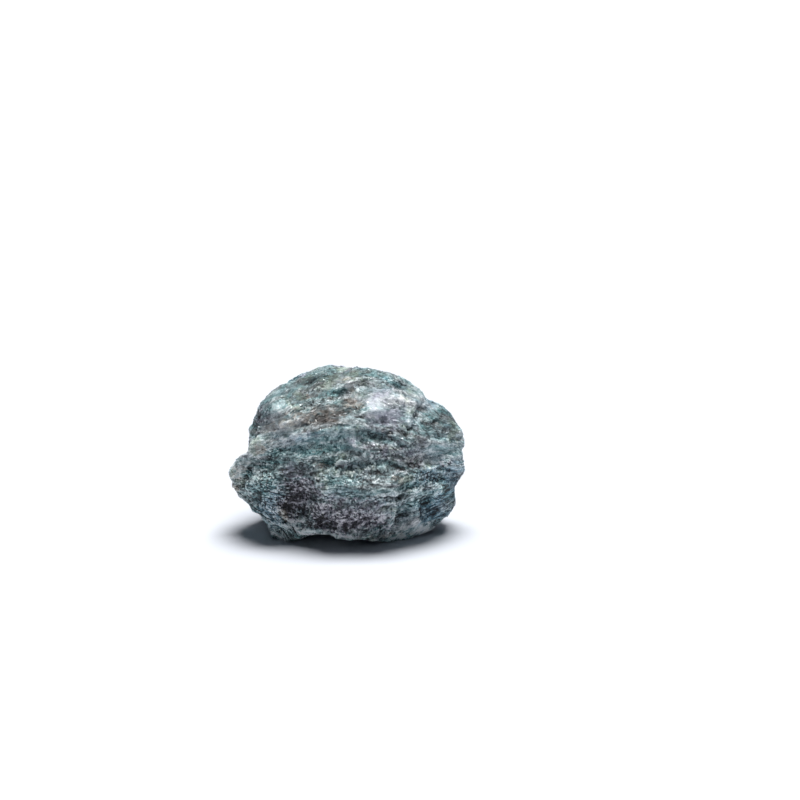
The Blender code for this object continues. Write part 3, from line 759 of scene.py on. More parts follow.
        (-13, 0.6, 3, 0.5, 0.4, 20), (-12.4, -15.5, 1.1, 0.5, 0.6), (-12, -3.6, 1.8, 1.6, 0.9),
        (-11.6, -8.6, 1.8, 2.8, 0.6, 10), (-11.6, 2, 1, 0.5, 0.5), (-10.4, 8, 0.6, 0.35, 0.7),
        (-10, 6.2, 4, 1, 0.15, 18), (-9.6, -2.7, 0.9, 0.8, 0.7), (-8.6, -14.1, 1.4, 0.5, 0.7, 10),
        (-7, 13, 8, 4.2, 0.8, 25), (-6.6, -14.4, 3.4, 0.8, 0.5, -10), (-6.6, 4.6, 3.4, 0.7, 0.9, 8),
        (-6, 1.2, 5, 0.6, 0.3, 8), (-6, 15.4, 5.4, 2, 1.15, 14), (-5.8, -5.4, 1.6, 1, 0.6),
        (-5.5, -0.2, 2, 1.5, 0.5), (-5.4, -3.6, 1.8, 1.5, 0.5), (-5, -12.6, 1.8, 0.8, 0.6, 10),
        (-4.8, 7.6, 5.4, 1.8, 1.05, 12), (-3.8, 6.4, 2.6, 1, 0.6, 8), (-3.6, 11.3, 2, 0.6, 0.5),
        (-3.2, 5.6, 1.3, 0.6, 0.6, 15), (0.2, -0.9, 2.4, 0.7, 0.4, 8), (0.6, -7, 6, 2, 0.3, -6),
        (1, 9.6, 2, 1.6, 0.5), (2, -4.6, 3.6, 1.4, 0.15, -4), (3, 7.5, 1.4, 0.6, 0.7, -10),
        (3.2, 4.2, 1.8, 1, 0.1), (4, 16.4, 5.6, 1.4, 0.65), (4.3, 12.9, 1.8, 1.5, 0.5),
        (4.8, -6, 1.2, 0.5, 0.5, -30), (5, 14.2, 2.4, 0.6, 0.5, 4), (6, -0.8, 3.4, 0.5, 0.1),
        (6.4, -3.8, 1.7, 0.6, 0.6), (6.4, 1.1, 2, 0.6, 0.7), (7.4, -6.4, 2.4, 1.5, 0.45),
        (7.6, -9.9, 2.2, 1.7, 0.75), (7.6, -3.5, 1.8, 1.5, 0.5), (8, 14, 6, 3, 0.3, -14),
        (8.5, 3, 0.8, 0.8, 0.7), (8.6, 4.6, 3, 0.4, 0.6, -14), (9, -5.7, 2.2, 0.4, 0.5),
        (9.6, 14.3, 4.2, 0.7, 0.35, -8), (9.8, -5, 0.8, 0.5, 0.6), (10, -13.4, 0.9, 1.6, 0.6),
        (10.3, -13, 0.5, 2.4, 0.6, -10), (10.5, -2.6, 0.9, 0.6, 0.7), (10.5, 4.6, 4.4, 2.4, 0.6),
        (10.6, -13.2, 1, 1.8, 0.35, -10), (12.4, -10.8, 1.6, 0.7, 0.5, 20), (13.2, -2.5, 1.3, 0.7, 0.8),
        (13.3, 8.2, 0.9, 1.8, 0.9, -20), (14.1, 6.3, 1.4, 1.4, 0.6), (14.4, -3.6, 1.8, 1.5, 0.75),
        (14.6, 2.4, 1.2, 1, 0.4), (17.8, -10.8, 4, 3, 1.05, 20), (19, 6.6, 3.6, 3.2, 0.75),
        (19.6, -8.4, 1.8, 3.4, 0.5), (19.6, -2.4, 2, 0.4, 0.7, -10), (20.2, -2, 1, 0.6, 0.7, -20),
        (20.4, -10.2, 1.8, 1.8, 0.9), (20.6, -6.7, 2.2, 2, 1.1),
    ),
}
print(sum(len(ovals) for ovals in ZONES.values()), "ovals in", len(ZONES), "zones")

# %% Paint the zones on the skin
ZONE_WOBBLE = {"u": (1.44, 3.2), "v": (0.9, 1.6)}
RAGGED = {"lump": 0.9, "height": 1.6}
FACING = (-4.0, 3.0)
# Elsewhere: each mineral's own place in the noise, and the noise above which it starts
FAR = {
    "ruby": (5.0, 0.04), "pale": (17.0, 0.08), "teal": (29.0, 0.04), "green": (73.0, 0.1),
    "lilac": (89.0, 0.12), "blue": (103.0, 0.1), "warm": (43.0, 0.26), "smooth": (131.0, 0.1),
    "crumbly": (149.0, 0.1), "dark": (59.0, 0.12),
}
FAR_LUMP = 9.0
FAR_FINE = {"lump": 3.0, "height": 0.5}
FAR_EDGE = 0.5
FAR_THIN = 2.0
FAR_FULL = 0.85


def paint_zones(obj):
    points = points_of(obj.data)
    u, v, w = stone_axes(*points.T)
    warped_u = u + ZONE_WOBBLE["u"][0] * lumpy(points, ZONE_WOBBLE["u"][1], SEEDS["zones u"])
    warped_v = v + ZONE_WOBBLE["v"][0] * lumpy(points, ZONE_WOBBLE["v"][1], SEEDS["zones v"])
    ragged = RAGGED["height"] * lumpy(points, RAGGED["lump"], SEEDS["ragged"])
    facing = step_up(w, *FACING)
    along = np.column_stack((u, FAR_THIN * layer_at(u, v, w, 0.0), w))
    for name, ovals in ZONES.items():
        near = np.zeros(len(points))
        for zone in ovals:
            near = np.maximum(near, oval(warped_u, warped_v, *zone))
        seed, start = FAR[name]
        lumps = lumpy(along, FAR_LUMP, seed) + FAR_FINE["height"] * lumpy(along, FAR_FINE["lump"], seed)
        far = FAR_FULL * step_up(lumps, start, start + FAR_EDGE)
        mask = far + (near - far) * facing
        mask += ragged * mask * np.maximum(1.0 - mask, 0.0)
        put_attribute(obj.data, name, mask)
        print("zone", name, "covers", round(float(mask.mean()) * 100), "percent")


paint_zones(skin)

# %% [markdown]
# ## Thin layers, fibres and pits
#
# A broken edge of this rock looks like a torn stack of paper. Each thin layer broke off at its own
# length, so the surface steps in and out from one to the next. Noise that is read at the number of
# the layer gives each layer its own edge. Stretched noise adds the fibres, and cells add the grain
# of the ruby zones. All of it is one height, which pushes the skin along its normal.
#
# Geometry Nodes fit this well, because one rule makes the whole surface. The sizes are named
# inputs of the tree, so they can be tried out on the modifier.

# %% Helpers for geometry trees
def start_tree(name, sizes):
    """A new geometry tree with a geometry input and one named input a size. Returns its parts."""
    tree = bpy.data.node_groups.new(name, "GeometryNodeTree")
    tree.interface.new_socket("Geometry", in_out="OUTPUT", socket_type="NodeSocketGeometry")
    tree.interface.new_socket("Geometry", in_out="INPUT", socket_type="NodeSocketGeometry")
    for size_name, value in sizes.items():
        socket = tree.interface.new_socket(size_name, in_out="INPUT", socket_type="NodeSocketFloat")
        socket.default_value = value
    graph = Graph(tree)
    geometry = graph.add("NodeGroupInput")
    inputs = {size_name: geometry.out(size_name) for size_name in sizes}
    return graph, geometry, inputs


def run_tree(name, obj, graph, geometry, sizes):
    """Ends the tree, puts it on a copy of the object and returns the plain result."""
    end = graph.tree.nodes.new("NodeGroupOutput")
    graph.tree.links.new(geometry.socket, end.inputs[0])
    user = obj.copy()
    bpy.context.scene.collection.objects.link(user)
    modifier = user.modifiers.new(name, "NODES")
    modifier.node_group = graph.tree
    for item in graph.tree.interface.items_tree:
        if item.in_out == "INPUT" and item.name in sizes:
            modifier[item.identifier] = sizes[item.name]
    made = baked(name, user)
    bpy.data.objects.remove(user)
    return made


def store(graph, geometry, name, value, kind="FLOAT"):
    """Keeps a value on the mesh as a named attribute."""
    where = {"data_type": kind, "domain": "POINT"}
    kept = {"Geometry": geometry, "Name": name, "Value": value}
    return graph.add("GeometryNodeStoreNamedAttribute", where, kept)


def mm_position(graph):
    """The position in mm, and the stone's own u, v, w and layer there."""
    place = graph.scaled(graph.add("GeometryNodeInputPosition"), 1.0 / MM)
    u, v, w = stone_axes(*graph.parts(place))
    wave = graph.noise(place, LAYER_WARP) * 2.0 - 1.0
    return place, u, v, w, layer_at(u, v, w, wave)

# %% The sizes of the relief
RELIEF = {
    "Layer": 1.05, "Layer run": 2.1, "Layer height": 0.16,
    "Sheet": 0.6, "Sheet run": 1.2, "Sheet height": 0.15,
    "Chip": 1.2, "Chip length": 1.9, "Chip height": 0.3,
    "Lump": 1.5, "Lump height": 0.16,
    "Fibre": 0.42, "Fibre length": 1.5, "Fibre height": 0.15,
    "Grain": 0.8, "Grain height": 0.2,
    "Pit": 1.2, "Pit depth": 0.27,
}
LAYER_RISER = (0.3, 0.62)
PIT_EDGE = (0.56, 0.72)
# The top has been worn: from the first height in mm to the second, the blades lose this share
WORN_TOP = (15.0, 26.0, 0.35)
# How much of the blades each zone takes away, and where grains and pits are
BLADES_LOST = {"ruby": 0.6, "pale": 0.3, "smooth": 0.5, "crumbly": 0.4}
GRAINY = (0.35, {"ruby": 1.0, "crumbly": 0.5})
GRAINS_LOST = 0.5
LUMPS_LOST = 0.35
PITTED = (0.3, {"ruby": 0.6, "dark": 0.6, "crumbly": 0.7, "smooth": -0.3})


# %% The relief tree
def torn_layers(graph, u, w, layer, thickness, run, height):
    """Layers that broke off at unequal lengths, with a sharp step from one to the next."""
    place = layer / thickness
    number = graph.math("FLOOR", place)
    step = graph.rise(place - number, *LAYER_RISER)
    here = graph.noise(graph.vector(u / run, w / run, number * NEXT_LAYER), 1.0)
    above = graph.noise(graph.vector(u / run, w / run, number * NEXT_LAYER + NEXT_LAYER), 1.0)
    return (graph.blend(here, above, step) - 0.5) * 2.0 * height


def relief_height(graph, size):
    """The height of the relief at each point, in mm."""
    place, u, _, w, layer = mm_position(graph)
    start, end, lost = WORN_TOP
    bladed = 1.0 - graph.rise(graph.parts(place)[2], start, end) * lost
    for name, share in BLADES_LOST.items():
        bladed = bladed * (1.0 - graph.attribute(name) * share)
    smooth = graph.attribute("smooth")

    def along_layers(length, thickness):
        return graph.vector(u / length, w / length, layer / thickness)

    height = torn_layers(graph, u, w, layer, size["Layer"], size["Layer run"], size["Layer height"]) * bladed
    height = height + torn_layers(graph, u, w, layer, size["Sheet"], size["Sheet run"], size["Sheet height"])
    fibres = graph.noise(along_layers(size["Fibre length"], size["Fibre"]), 1.0, 2.0) - 0.5
    height = height + fibres * 2.0 * size["Fibre height"] * bladed
    chips = graph.crystals(along_layers(size["Chip length"], size["Chip"]))[2]
    height = height + chips * size["Chip height"] * bladed
    lumps = graph.noise(graph.scaled(place, 1.0 / size["Lump"]), 1.0, 2.0) - 0.5
    height = height + lumps * 2.0 * size["Lump height"] * (1.0 - smooth * LUMPS_LOST)
    grain = 0.5 - graph.cells(graph.scaled(place, 1.0 / size["Grain"]))
    grainy = graph.weighed(*GRAINY) * (1.0 - smooth * GRAINS_LOST)
    height = height + grain * size["Grain height"] * grainy
    pits = graph.rise(graph.noise(graph.scaled(place, 1.0 / size["Pit"]), 1.0, 1.0), *PIT_EDGE)
    return height - pits * size["Pit depth"] * graph.clamp(graph.weighed(*PITTED))


def relief_tree():
    graph, geometry, size = start_tree("relief", RELIEF)
    height = relief_height(graph, size)
    normal = graph.add("GeometryNodeInputNormal")
    stored = store(graph, geometry, "relief", height)
    kept = store(graph, stored, "skin_normal", normal, "FLOAT_VECTOR")
    offset = graph.scaled(normal, height * MM)
    moved = graph.add("GeometryNodeSetPosition", {}, {"Geometry": kept, "Offset": offset})
    x, y, z = graph.parts(graph.add("GeometryNodeInputPosition"))
    above_floor = graph.vector(x, y, graph.math("MAXIMUM", z, 0.0))
    settled = graph.add("GeometryNodeSetPosition", {}, {"Geometry": moved, "Position": above_floor})
    return graph, graph.add("GeometryNodeSetShadeSmooth", {}, {"Geometry": settled})


relief_graph, relief_geometry = relief_tree()
stone = run_tree("stone", skin, relief_graph, relief_geometry, RELIEF)
bpy.data.objects.remove(skin)
print("stone:", triangles(stone), "triangles")

# %% [markdown]
# ## Pale edges and dark gaps
#
# On the real stone each small edge is rubbed pale and catches the light, and the gaps between hold
# dust and lie in shade. Both are painted into the colour: wear and a painted highlight on the
# edges, dust and painted shade in the gaps. So the finished mesh is compared with a smoothed copy
# of itself once more, this time with one that is smoothed very little. The difference is kept as
# the attribute `edge`, which the colours read.

# %% Mark the small edges and gaps
EDGE_SPREAD = 4
EDGE_FULL = 0.06
EDGE_MOST = 1.6


def mark_edges(obj):
    """Where the finished surface stands proud of its near surroundings, or lies in a gap."""
    proud = standing_proud(obj.data, EDGE_SPREAD)
    put_attribute(obj.data, "edge", np.clip(proud / EDGE_FULL, -EDGE_MOST, EDGE_MOST))
    print("small edges stand proud by", round(float(proud.std()), 3), "mm on average")


mark_edges(stone)

# %% [markdown]
# ## Colours of the minerals
#
# Each mineral has five colours, from its deepest shade to its palest glint. A colour ramp turns one
# number, the tone, into a colour between them. So the pattern is worked out once, and the same
# pattern shows in grey rock, kyanite, mica or ruby-bearing rock.

# %% Colours as they look on a screen
# Five colours a mineral, from its darkest to its palest, as screen values from 0 to 255
RAMPS = {
    "grey": ((21, 22, 23), (76, 80, 82), (136, 142, 145), (194, 200, 203), (245, 248, 249)),
    "kyanite": ((10, 25, 27), (44, 79, 83), (95, 139, 142), (156, 196, 198), (226, 243, 243)),
    "blue": ((10, 23, 31), (46, 76, 91), (96, 135, 153), (156, 192, 208), (224, 241, 249)),
    "green": ((18, 26, 22), (66, 80, 72), (118, 136, 124), (174, 190, 178), (230, 240, 230)),
    "lilac": ((20, 20, 26), (72, 74, 86), (130, 132, 147), (188, 190, 206), (240, 241, 250)),
    "ruby": ((14, 13, 16), (52, 50, 57), (102, 100, 110), (160, 158, 168), (228, 226, 232)),
    "warm": ((24, 20, 17), (82, 74, 67), (140, 131, 121), (196, 190, 180), (245, 242, 236)),
}
SCREEN_GAMMA = 2.2


def shade(red, green, blue):
    """A colour given as screen values, as the light values that a shader needs."""
    return tuple((value / 255.0) ** SCREEN_GAMMA for value in (red, green, blue)) + (1.0,)


def ramp(graph, name, tone):
    """The colour of this mineral at a tone from 0, dark, to 1, pale."""
    colours = RAMPS[name]
    stops = [(number / (len(colours) - 1), shade(*colour)) for number, colour in enumerate(colours)]
    return graph.add("ShaderNodeValToRGB", {"stops": stops}, {"Fac": tone})

# %% [markdown]
# ## The patterns of the rock
#
# Every pattern is noise that is read in the stone's own layers: squeezed across them and stretched
# along them, so a round lump becomes a streak. Streaks and needles show where the rock is bladed,
# mottle and grains where it is granular. A slow wide blotch keeps the low, shaded part from looking
# the same all over. The tone is their sum, moved by the painted zones and the relief.

# %% The patterns of the rock
# Each pattern is (length along the layers, thickness across them, mm; detail; roughness; strength)
PATTERNS = {
    "streak": (2.8, 0.8, 3.0, 0.6, 0.85),
    "mottle": (1.4, 0.8, 3.0, 0.65, 0.8),
    "speck": (0.30, 0.30, 2.0, 0.6, 0.85),
    "band": (9.0, 1.6, 2.0, 0.6, 2.4),
    "blotch": (2.4, 1.6, 1.0, 0.5, 1.3),
}
# Crystals that show in the surface: length, thickness, mm, and how much their tones differ
NEEDLES = (1.2, 0.30, 0.26)
GRAINS = (0.46, 0.42, 0.38)
GRAINS_IN_MOTTLE = 0.8
FOLD = {"size": 4.2, "height": 1.9}
PATCHES = {"size": 3.4, "edge": (0.46, 0.66)}
GRANULAR = {"crumbly": 0.8, "smooth": -0.6}
RUBY_SHOWS = (0.1, 1.0)
# The pattern is weaker on top: this share there, and that much more below, between two heights
TEXTURE_SHARE = (0.66, 0.55, (26.0, 10.0))
LOW_DOWN = (18.0, 8.0)
# Milky and smooth parts lose this share of it, and kyanite gains this share
MILKY = {"pale": 0.18, "smooth": 0.4}
FLECKED = 0.6
# The tone starts in the middle, and each attribute lightens or darkens it. `pale` and `dark` are in
# part painted light and shade, `crest`, `line` and `edge` add wear and painted highlight on what
# stands proud and painted shade in gaps, and `relief` is paler where high and darker where low
MIDDLE_TONE = 0.52
TONE_OF = {
    "pale": 0.22, "dark": -0.30, "ruby": -0.06, "crest": 0.05, "relief": 0.15, "line": 0.22, "edge": 0.07,
}
# A crystal whose random number is above these is bright, not dull
BRIGHT_FACES = (0.55, 0.9)


# %% The rock at one point
class Rock:
    """The patterns of the rock at a point of a shader."""

    def __init__(self, graph):
        self.graph = graph
        self.place = graph.scaled(graph.add("ShaderNodeTexCoord", out="Object"), 1.0 / MM)
        x, y, z = graph.parts(self.place)
        least, more, heights = TEXTURE_SHARE
        self.coarse = least + graph.rise(z, *heights) * more
        self.low = graph.rise(z, *LOW_DOWN)
        self.u, v, self.w = stone_axes(x, y, z)
        wave = graph.noise(self.place, LAYER_WARP) * 2.0 - 1.0
        fold = (graph.noise(self.place, FOLD["size"], 1.0) - 0.5) * FOLD["height"]
        self.layer = layer_at(self.u, v, self.w, wave) + fold
        self.ruby = graph.rise(graph.attribute("ruby"), *RUBY_SHOWS)
        self.swing = {}
        for name, (length, thickness, detail, roughness, strength) in PATTERNS.items():
            pattern = graph.noise(self.stretched(length, thickness), 1.0, detail, roughness)
            self.swing[name] = (pattern - 0.5) * strength
        self.needle, self.needle_gloss, needle_tilt = graph.crystals(self.stretched(*NEEDLES[:2]))
        self.grain, self.grain_gloss, grain_tilt = graph.crystals(self.stretched(*GRAINS[:2]))
        patches = graph.rise(graph.noise(self.place, PATCHES["size"], 2.0), *PATCHES["edge"])
        self.granular = graph.clamp(graph.weighed(patches + self.ruby, GRANULAR))
        self.tilt = graph.blend(needle_tilt * NEEDLES[1], grain_tilt * GRAINS[1], self.granular)

    def stretched(self, length, thickness):
        return self.graph.vector(self.u / length, self.w / length, self.layer / thickness)

    def tone(self, extra):
        """How pale the rock is, from 0 to 1."""
        graph = self.graph
        milky = self.coarse
        for name, share in MILKY.items():
            milky = milky * (1.0 - graph.attribute(name) * share)
        grain = (self.grain - 0.5) * GRAINS[2]
        bladed = self.swing["streak"] + (self.needle - 0.5) * NEEDLES[2]
        crumbled = self.swing["mottle"] + grain * GRAINS_IN_MOTTLE
        texture = graph.blend(bladed, crumbled, self.granular) + grain + self.swing["speck"]
        texture = texture * (1.0 + graph.attribute("teal") * FLECKED)
        total = texture * milky + self.swing["blotch"] * self.low + extra + MIDDLE_TONE
        return graph.clamp(graph.weighed(total, TONE_OF))

    def gloss(self, dull, bright):
        """Roughness: most crystals are dull, and a few faces are bright."""
        random_gloss = self.graph.blend(self.needle_gloss, self.grain_gloss, self.ruby)
        return self.graph.blend(dull, bright, self.graph.rise(random_gloss, *BRIGHT_FACES))


# %% [markdown]
# ## Which mineral shows
#
# Grey rock is the ground colour. Kyanite lies over it, clear blue in places, and then green mica,
# lilac and dark ruby-bearing rock, and brown stain, each where its zone is painted. The patterns
# push every border about, so that one mineral reaches into the next in tongues and flecks.

# %% Mix the minerals
KYANITE_START = 0.45
KYANITE_IN = {"teal": 0.58, "pale": -0.25, "smooth": -0.15}
CLEAR_BLUE = {"size": 6.0, "zone": 0.7, "edge": (0.45, 1.2)}
PATCH = {"size": 2.6, "from grains": 0.16}
# For each mineral: the zones that bring it in, the patterns that do, its edge, and its most
MINERALS = {
    "green": ({"green": 0.6, "teal": -0.2, "smooth": -0.12}, {"patch": 1.6, "band": -0.1}, (0.05, 0.6), 0.9),
    "lilac": ({"lilac": 0.8, "teal": -0.3}, {"patch": -1.2, "band": 0.1}, (0.1, 0.8), 0.9),
    "ruby": ({"ruby": 1.0}, {"needle": 0.5, "band": 0.12}, (0.05, 0.95), 1.0),
    "warm": ({"warm": 1.0}, {"needle": 0.4}, (0.15, 0.75), 0.8),
}


def rock_colour(rock, tone):
    """The colour at this tone, with each mineral in its zones."""
    graph = rock.graph
    band = rock.swing["band"]
    patch = graph.noise(rock.place, PATCH["size"], 3.0) - 0.5
    patch = patch + (rock.grain_gloss - 0.5) * PATCH["from grains"]
    patterns = {"band": band, "patch": patch, "needle": rock.needle - 0.5}
    clear = graph.attribute("blue") * CLEAR_BLUE["zone"] + graph.noise(rock.place, CLEAR_BLUE["size"], 2.0)
    clear = graph.rise(clear, *CLEAR_BLUE["edge"])
    bladed = graph.mix(ramp(graph, "kyanite", tone), ramp(graph, "blue", tone), clear)
    kyanite = graph.clamp(graph.weighed(band + KYANITE_START, KYANITE_IN))
    colour = graph.mix(ramp(graph, "grey", tone), bladed, kyanite)
    for name, (zones, pulls, edge, most) in MINERALS.items():
        share = graph.weighed(0.0, zones)
        for pattern, pull in pulls.items():
            share = share + patterns[pattern] * pull
        colour = graph.mix(colour, ramp(graph, name, tone), graph.rise(share, *edge) * most)
    return colour

# %% The finish of the stone's skin
CRUMBS = {"size": 0.22, "roughness": 0.7, "height": 0.07}
FACE_TILT = 0.9
STONE_GLOSS = (0.75, 0.32)
STONE_IOR = 1.6


def new_material(name):
    material = bpy.data.materials.new(name)
    material.use_nodes = True
    graph = Graph(material.node_tree)
    shader = material.node_tree.nodes["Principled BSDF"]
    return material, graph, shader


def plug(graph, shader, sockets):
    """Links values to a shader's sockets, or sets them where they are plain numbers."""
    for name, value in sockets.items():
        if isinstance(value, Value):
            graph.tree.links.new(value.socket, shader.inputs[name])
        else:
            shader.inputs[name].default_value = value


def bump(graph, height, strength=1.0):
    """Leans the surface by a height in mm, for relief that is finer than the mesh."""
    return graph.add("ShaderNodeBump", {}, {"Strength": strength, "Distance": MM, "Height": height})


def stone_finish():
    material, graph, shader = new_material("rough_kyanite_rock")
    rock = Rock(graph)
    crumbs = graph.noise(rock.place, CRUMBS["size"], 2.0, CRUMBS["roughness"])
    height = crumbs * CRUMBS["height"] + rock.tilt * FACE_TILT
    plug(graph, shader, {
        "Base Color": rock_colour(rock, rock.tone(0.0)),
        "Roughness": rock.gloss(*STONE_GLOSS),
        "Normal": bump(graph, height),
        "IOR": STONE_IOR,
    })
    return material


stone_material = stone_finish()
stone.data.materials.clear()
stone.data.materials.append(stone_material)

# %% [markdown]
# ## Crystals that stand in the rock
#
# Kyanite grows in flat blades, a few times longer than wide, and they lie in the layers. The
# broken surface is full of their ends and edges. Ruby grows in stubby six-sided barrels, mica in
# thin six-sided flakes, and quartz breaks into angular crumbs. Each kind is a few small meshes,
# which Geometry Nodes scatter over the stone by the thousand.
#
# A blade lies along the trace of the layer that it belongs to. That direction is the cross product
# of the layer's normal and the surface's. Each crystal keeps the zones of the place where it
# stands, and takes a random tone of its own, so that its neighbours differ.

# %% The shapes of single crystals
# Blade: length, width and thickness; barrel: half length and radius; flake: radius and half
# thickness; crumb: radius, mm
BLADE = (1.8, 0.55, 0.26)
BLADE_EDGE = (0.55, 0.85)
BLADE_ENDS = ((0.5, 0.9), (0.4, 0.8))
BLADE_SLANT = (-1.2, 1.2)
BARREL = (0.3, 0.3)
BARREL_SHOULDER = 0.6
BARREL_END = 0.6
BARREL_SLANT = 0.1
BARREL_TIP = (0.5, 0.8)
FLAKE = (0.36, 0.03)
FLAKE_GROWTH = (0.8, 1.2)
FLAKE_TAPER = 0.86
CRUMB = 0.32
CRUMB_DENTS = (0.65, 1.25)
VARIANTS = 4


def closed_prism(outline, rings):
    """A closed solid: the outline's points (y, z) repeated at each ring (x, scale, slant)."""
    mesh = bmesh.new()
    loops = []
    for x, scale, slant in rings:
        loops.append([mesh.verts.new((x + slant * y, y * scale, z * scale)) for y, z in outline])
    for near, far in zip(loops, loops[1:]):
        for i in range(len(outline)):
            j = (i + 1) % len(outline)
            mesh.faces.new((near[i], near[j], far[j], far[i]))
    mesh.faces.new(reversed(loops[0]))
    mesh.faces.new(loops[-1])
    bmesh.ops.recalc_face_normals(mesh, faces=mesh.faces)
    return mesh


def blade_shape(chance):
    """A flat lath with bevelled edges and oblique, broken ends."""
    length, width, thick = (side * MM / 2.0 for side in BLADE)
    inner = width * chance.uniform(*BLADE_EDGE)
    below = ((-width, 0.0), (-inner, -thick), (inner, -thick))
    above = ((width, 0.0), (inner, thick), (-inner, thick))
    rings = []
    for x, scales in zip((-length, length), BLADE_ENDS):
        rings.append((x, chance.uniform(*scales), chance.uniform(*BLADE_SLANT)))
    return closed_prism(below + above, rings)


def hexagon(radius):
    return [(radius * math.cos(math.tau * i / 6), radius * math.sin(math.tau * i / 6)) for i in range(6)]


def barrel_shape(chance):
    """A stubby six-sided grain, a little narrower at its ends."""
    half, radius = (side * MM for side in BARREL)
    shoulder = half * BARREL_SHOULDER
    first = (-half, BARREL_END, BARREL_SLANT)
    last = (half, chance.uniform(*BARREL_TIP), -BARREL_SLANT)
    return closed_prism(hexagon(radius), (first, (-shoulder, 1.0, 0.0), (shoulder, 1.0, 0.0), last))


def flake_shape(chance):
    """A thin six-sided plate. Its face is across X, so it lies flat where X is the normal."""
    radius, half = (side * MM for side in FLAKE)
    outline = hexagon(radius * chance.uniform(*FLAKE_GROWTH))
    return closed_prism(outline, ((-half, 1.0, 0.0), (half, FLAKE_TAPER, 0.0)))


def crumb_shape(chance):
    """An angular broken grain."""
    mesh = bmesh.new()
    bmesh.ops.create_icosphere(mesh, subdivisions=1, radius=CRUMB * MM)
    for vertex in mesh.verts:
        vertex.co *= chance.uniform(*CRUMB_DENTS)
    return mesh


def shape_collection(name, make_shape):
    """A few variants of one crystal, in a collection that the scatter tree picks from."""
    collection = bpy.data.collections.new(name)
    chance = random.Random(name)
    for number in range(VARIANTS):
        data = bpy.data.meshes.new(f"{name}_{number}")
        shape = make_shape(chance)
        shape.to_mesh(data)
        shape.free()
        collection.objects.link(bpy.data.objects.new(data.name, data))
    return collection

# %% The scatter tree
# No crystal grows below this height, mm, so the stone still rests on its own feet
FOOT_CLEARANCE = 1.6
PER_SQUARE_METRE = 1.0e6
# The least and the most that a crystal may grow along its three axes
GROWN = ((0.45, 0.6, 0.6), (1.25, 1.35, 1.3))
# One fixed seed for each random draw
DRAWS = {"tone": 3, "swing": 7, "growth": 11}


def random_value(graph, kind, low, high, draw):
    """A random number or vector for each crystal."""
    ends = {"Min": low, "Max": high, "Seed": DRAWS[draw]}
    return graph.add("FunctionNodeRandomValue", {"data_type": kind}, ends, "Value")


def scattered(graph, name, geometry, density, per_mm2):
    """Points on the skin, each with a random tone of its own."""
    z = graph.parts(graph.scaled(graph.add("GeometryNodeInputPosition"), 1.0 / MM))[2]
    share = graph.clamp(density(graph)) * graph.math("GREATER_THAN", z, FOOT_CLEARANCE)
    points = graph.add(
        "GeometryNodeDistributePointsOnFaces",
        {"distribute_method": "RANDOM"},
        {"Mesh": geometry, "Density": share * per_mm2 * PER_SQUARE_METRE, "Seed": len(name)},
        "Points",
    )
    return store(graph, points, "own_tone", random_value(graph, "FLOAT", -1.0, 1.0, "tone"))


def turned(graph, normal, lie, swing):
    """How a crystal lies: X along the layer's trace, or X to the normal, and then swung at random."""
    if lie == "trace":
        _, u, v, _, _ = mm_position(graph)
        upward = graph.vector(*layer_normal(u, v))
        trace = graph.vector_math("CROSS_PRODUCT", upward, normal)
        facing = graph.add("FunctionNodeAlignRotationToVector", {"axis": "Z"}, {"Vector": normal})
        turn = {"Rotation": facing, "Vector": trace}
        settled = graph.add("FunctionNodeAlignRotationToVector", {"axis": "X", "pivot_axis": "Z"}, turn)
    else:
        settled = graph.add("FunctionNodeAlignRotationToVector", {"axis": "X"}, {"Vector": normal})
    jitter = random_value(graph, "FLOAT_VECTOR", tuple(-angle for angle in swing), swing, "swing")
    swung = {"Rotation": settled, "Rotate By": graph.add("FunctionNodeEulerToRotation", {}, {0: jitter})}
    return graph.add("FunctionNodeRotateRotation", {"rotation_space": "LOCAL"}, swung)


def scatter_tree(name, sizes, density, material, shapes, lie, swing):
    """Crystals over the surface, each a shape of the collection, sunk, turned and scaled."""
    graph, geometry, size = start_tree(name, sizes)
    points = scattered(graph, name, geometry, density, size["Per mm2"])
    normal = graph.attribute("skin_normal", "FLOAT_VECTOR")
    offset = graph.scaled(normal, size["Sink"] * -MM)
    sunk = graph.add("GeometryNodeSetPosition", {}, {"Geometry": points, "Offset": offset})
    picked = {"Collection": shapes, "Separate Children": True, "Reset Children": True}
    growth = random_value(graph, "FLOAT_VECTOR", *GROWN, "growth")
    crystals = graph.add("GeometryNodeInstanceOnPoints", {}, {
        "Points": sunk,
        "Instance": graph.add("GeometryNodeCollectionInfo", {}, picked),
        "Pick Instance": True,
        "Rotation": turned(graph, normal, lie, swing),
        "Scale": graph.scaled(growth, size["Growth"]),
    })
    real = graph.add("GeometryNodeRealizeInstances", {}, {"Geometry": crystals})
    return graph, graph.add("GeometryNodeSetMaterial", {}, {"Geometry": real, "Material": material})


def grow(name, sizes, density, material, make_shape, lie, swing):
    """Scatters one kind over the stone, as a piece of its own."""
    shapes = shape_collection(name + "_shape", make_shape)
    graph, geometry = scatter_tree(name, sizes, density, material, shapes, lie, swing)
    made = run_tree(name, stone, graph, geometry, sizes)
    for obj in list(shapes.objects):
        bpy.data.objects.remove(obj)
    print(name + ":", triangles(made), "triangles")
    return made

# %% [markdown]
# ## The finish of the crystals
#
# The crystals take the colour of the rock around them, made paler or darker by their own tone, and
# they are glossier than the rock. Kyanite has a glassy to pearly face. Mica flakes are nearly
# mirrors, which gives the stone real glints; the palest crystals get a painted glint as well, a
# paler colour.

# %% Materials of the crystals
# Painted glints: the crystals with the palest tones of their own get this much paler still
PAINTED_GLINT = 0.22
PAINTED_GLINT_TONES = (0.7, 1.0)
CRYSTAL_TILT = 0.4
CRYSTAL_BUMP = 0.6
DULLER = 0.15
GLOSSIER = 0.1
CRYSTAL_IOR = 1.7


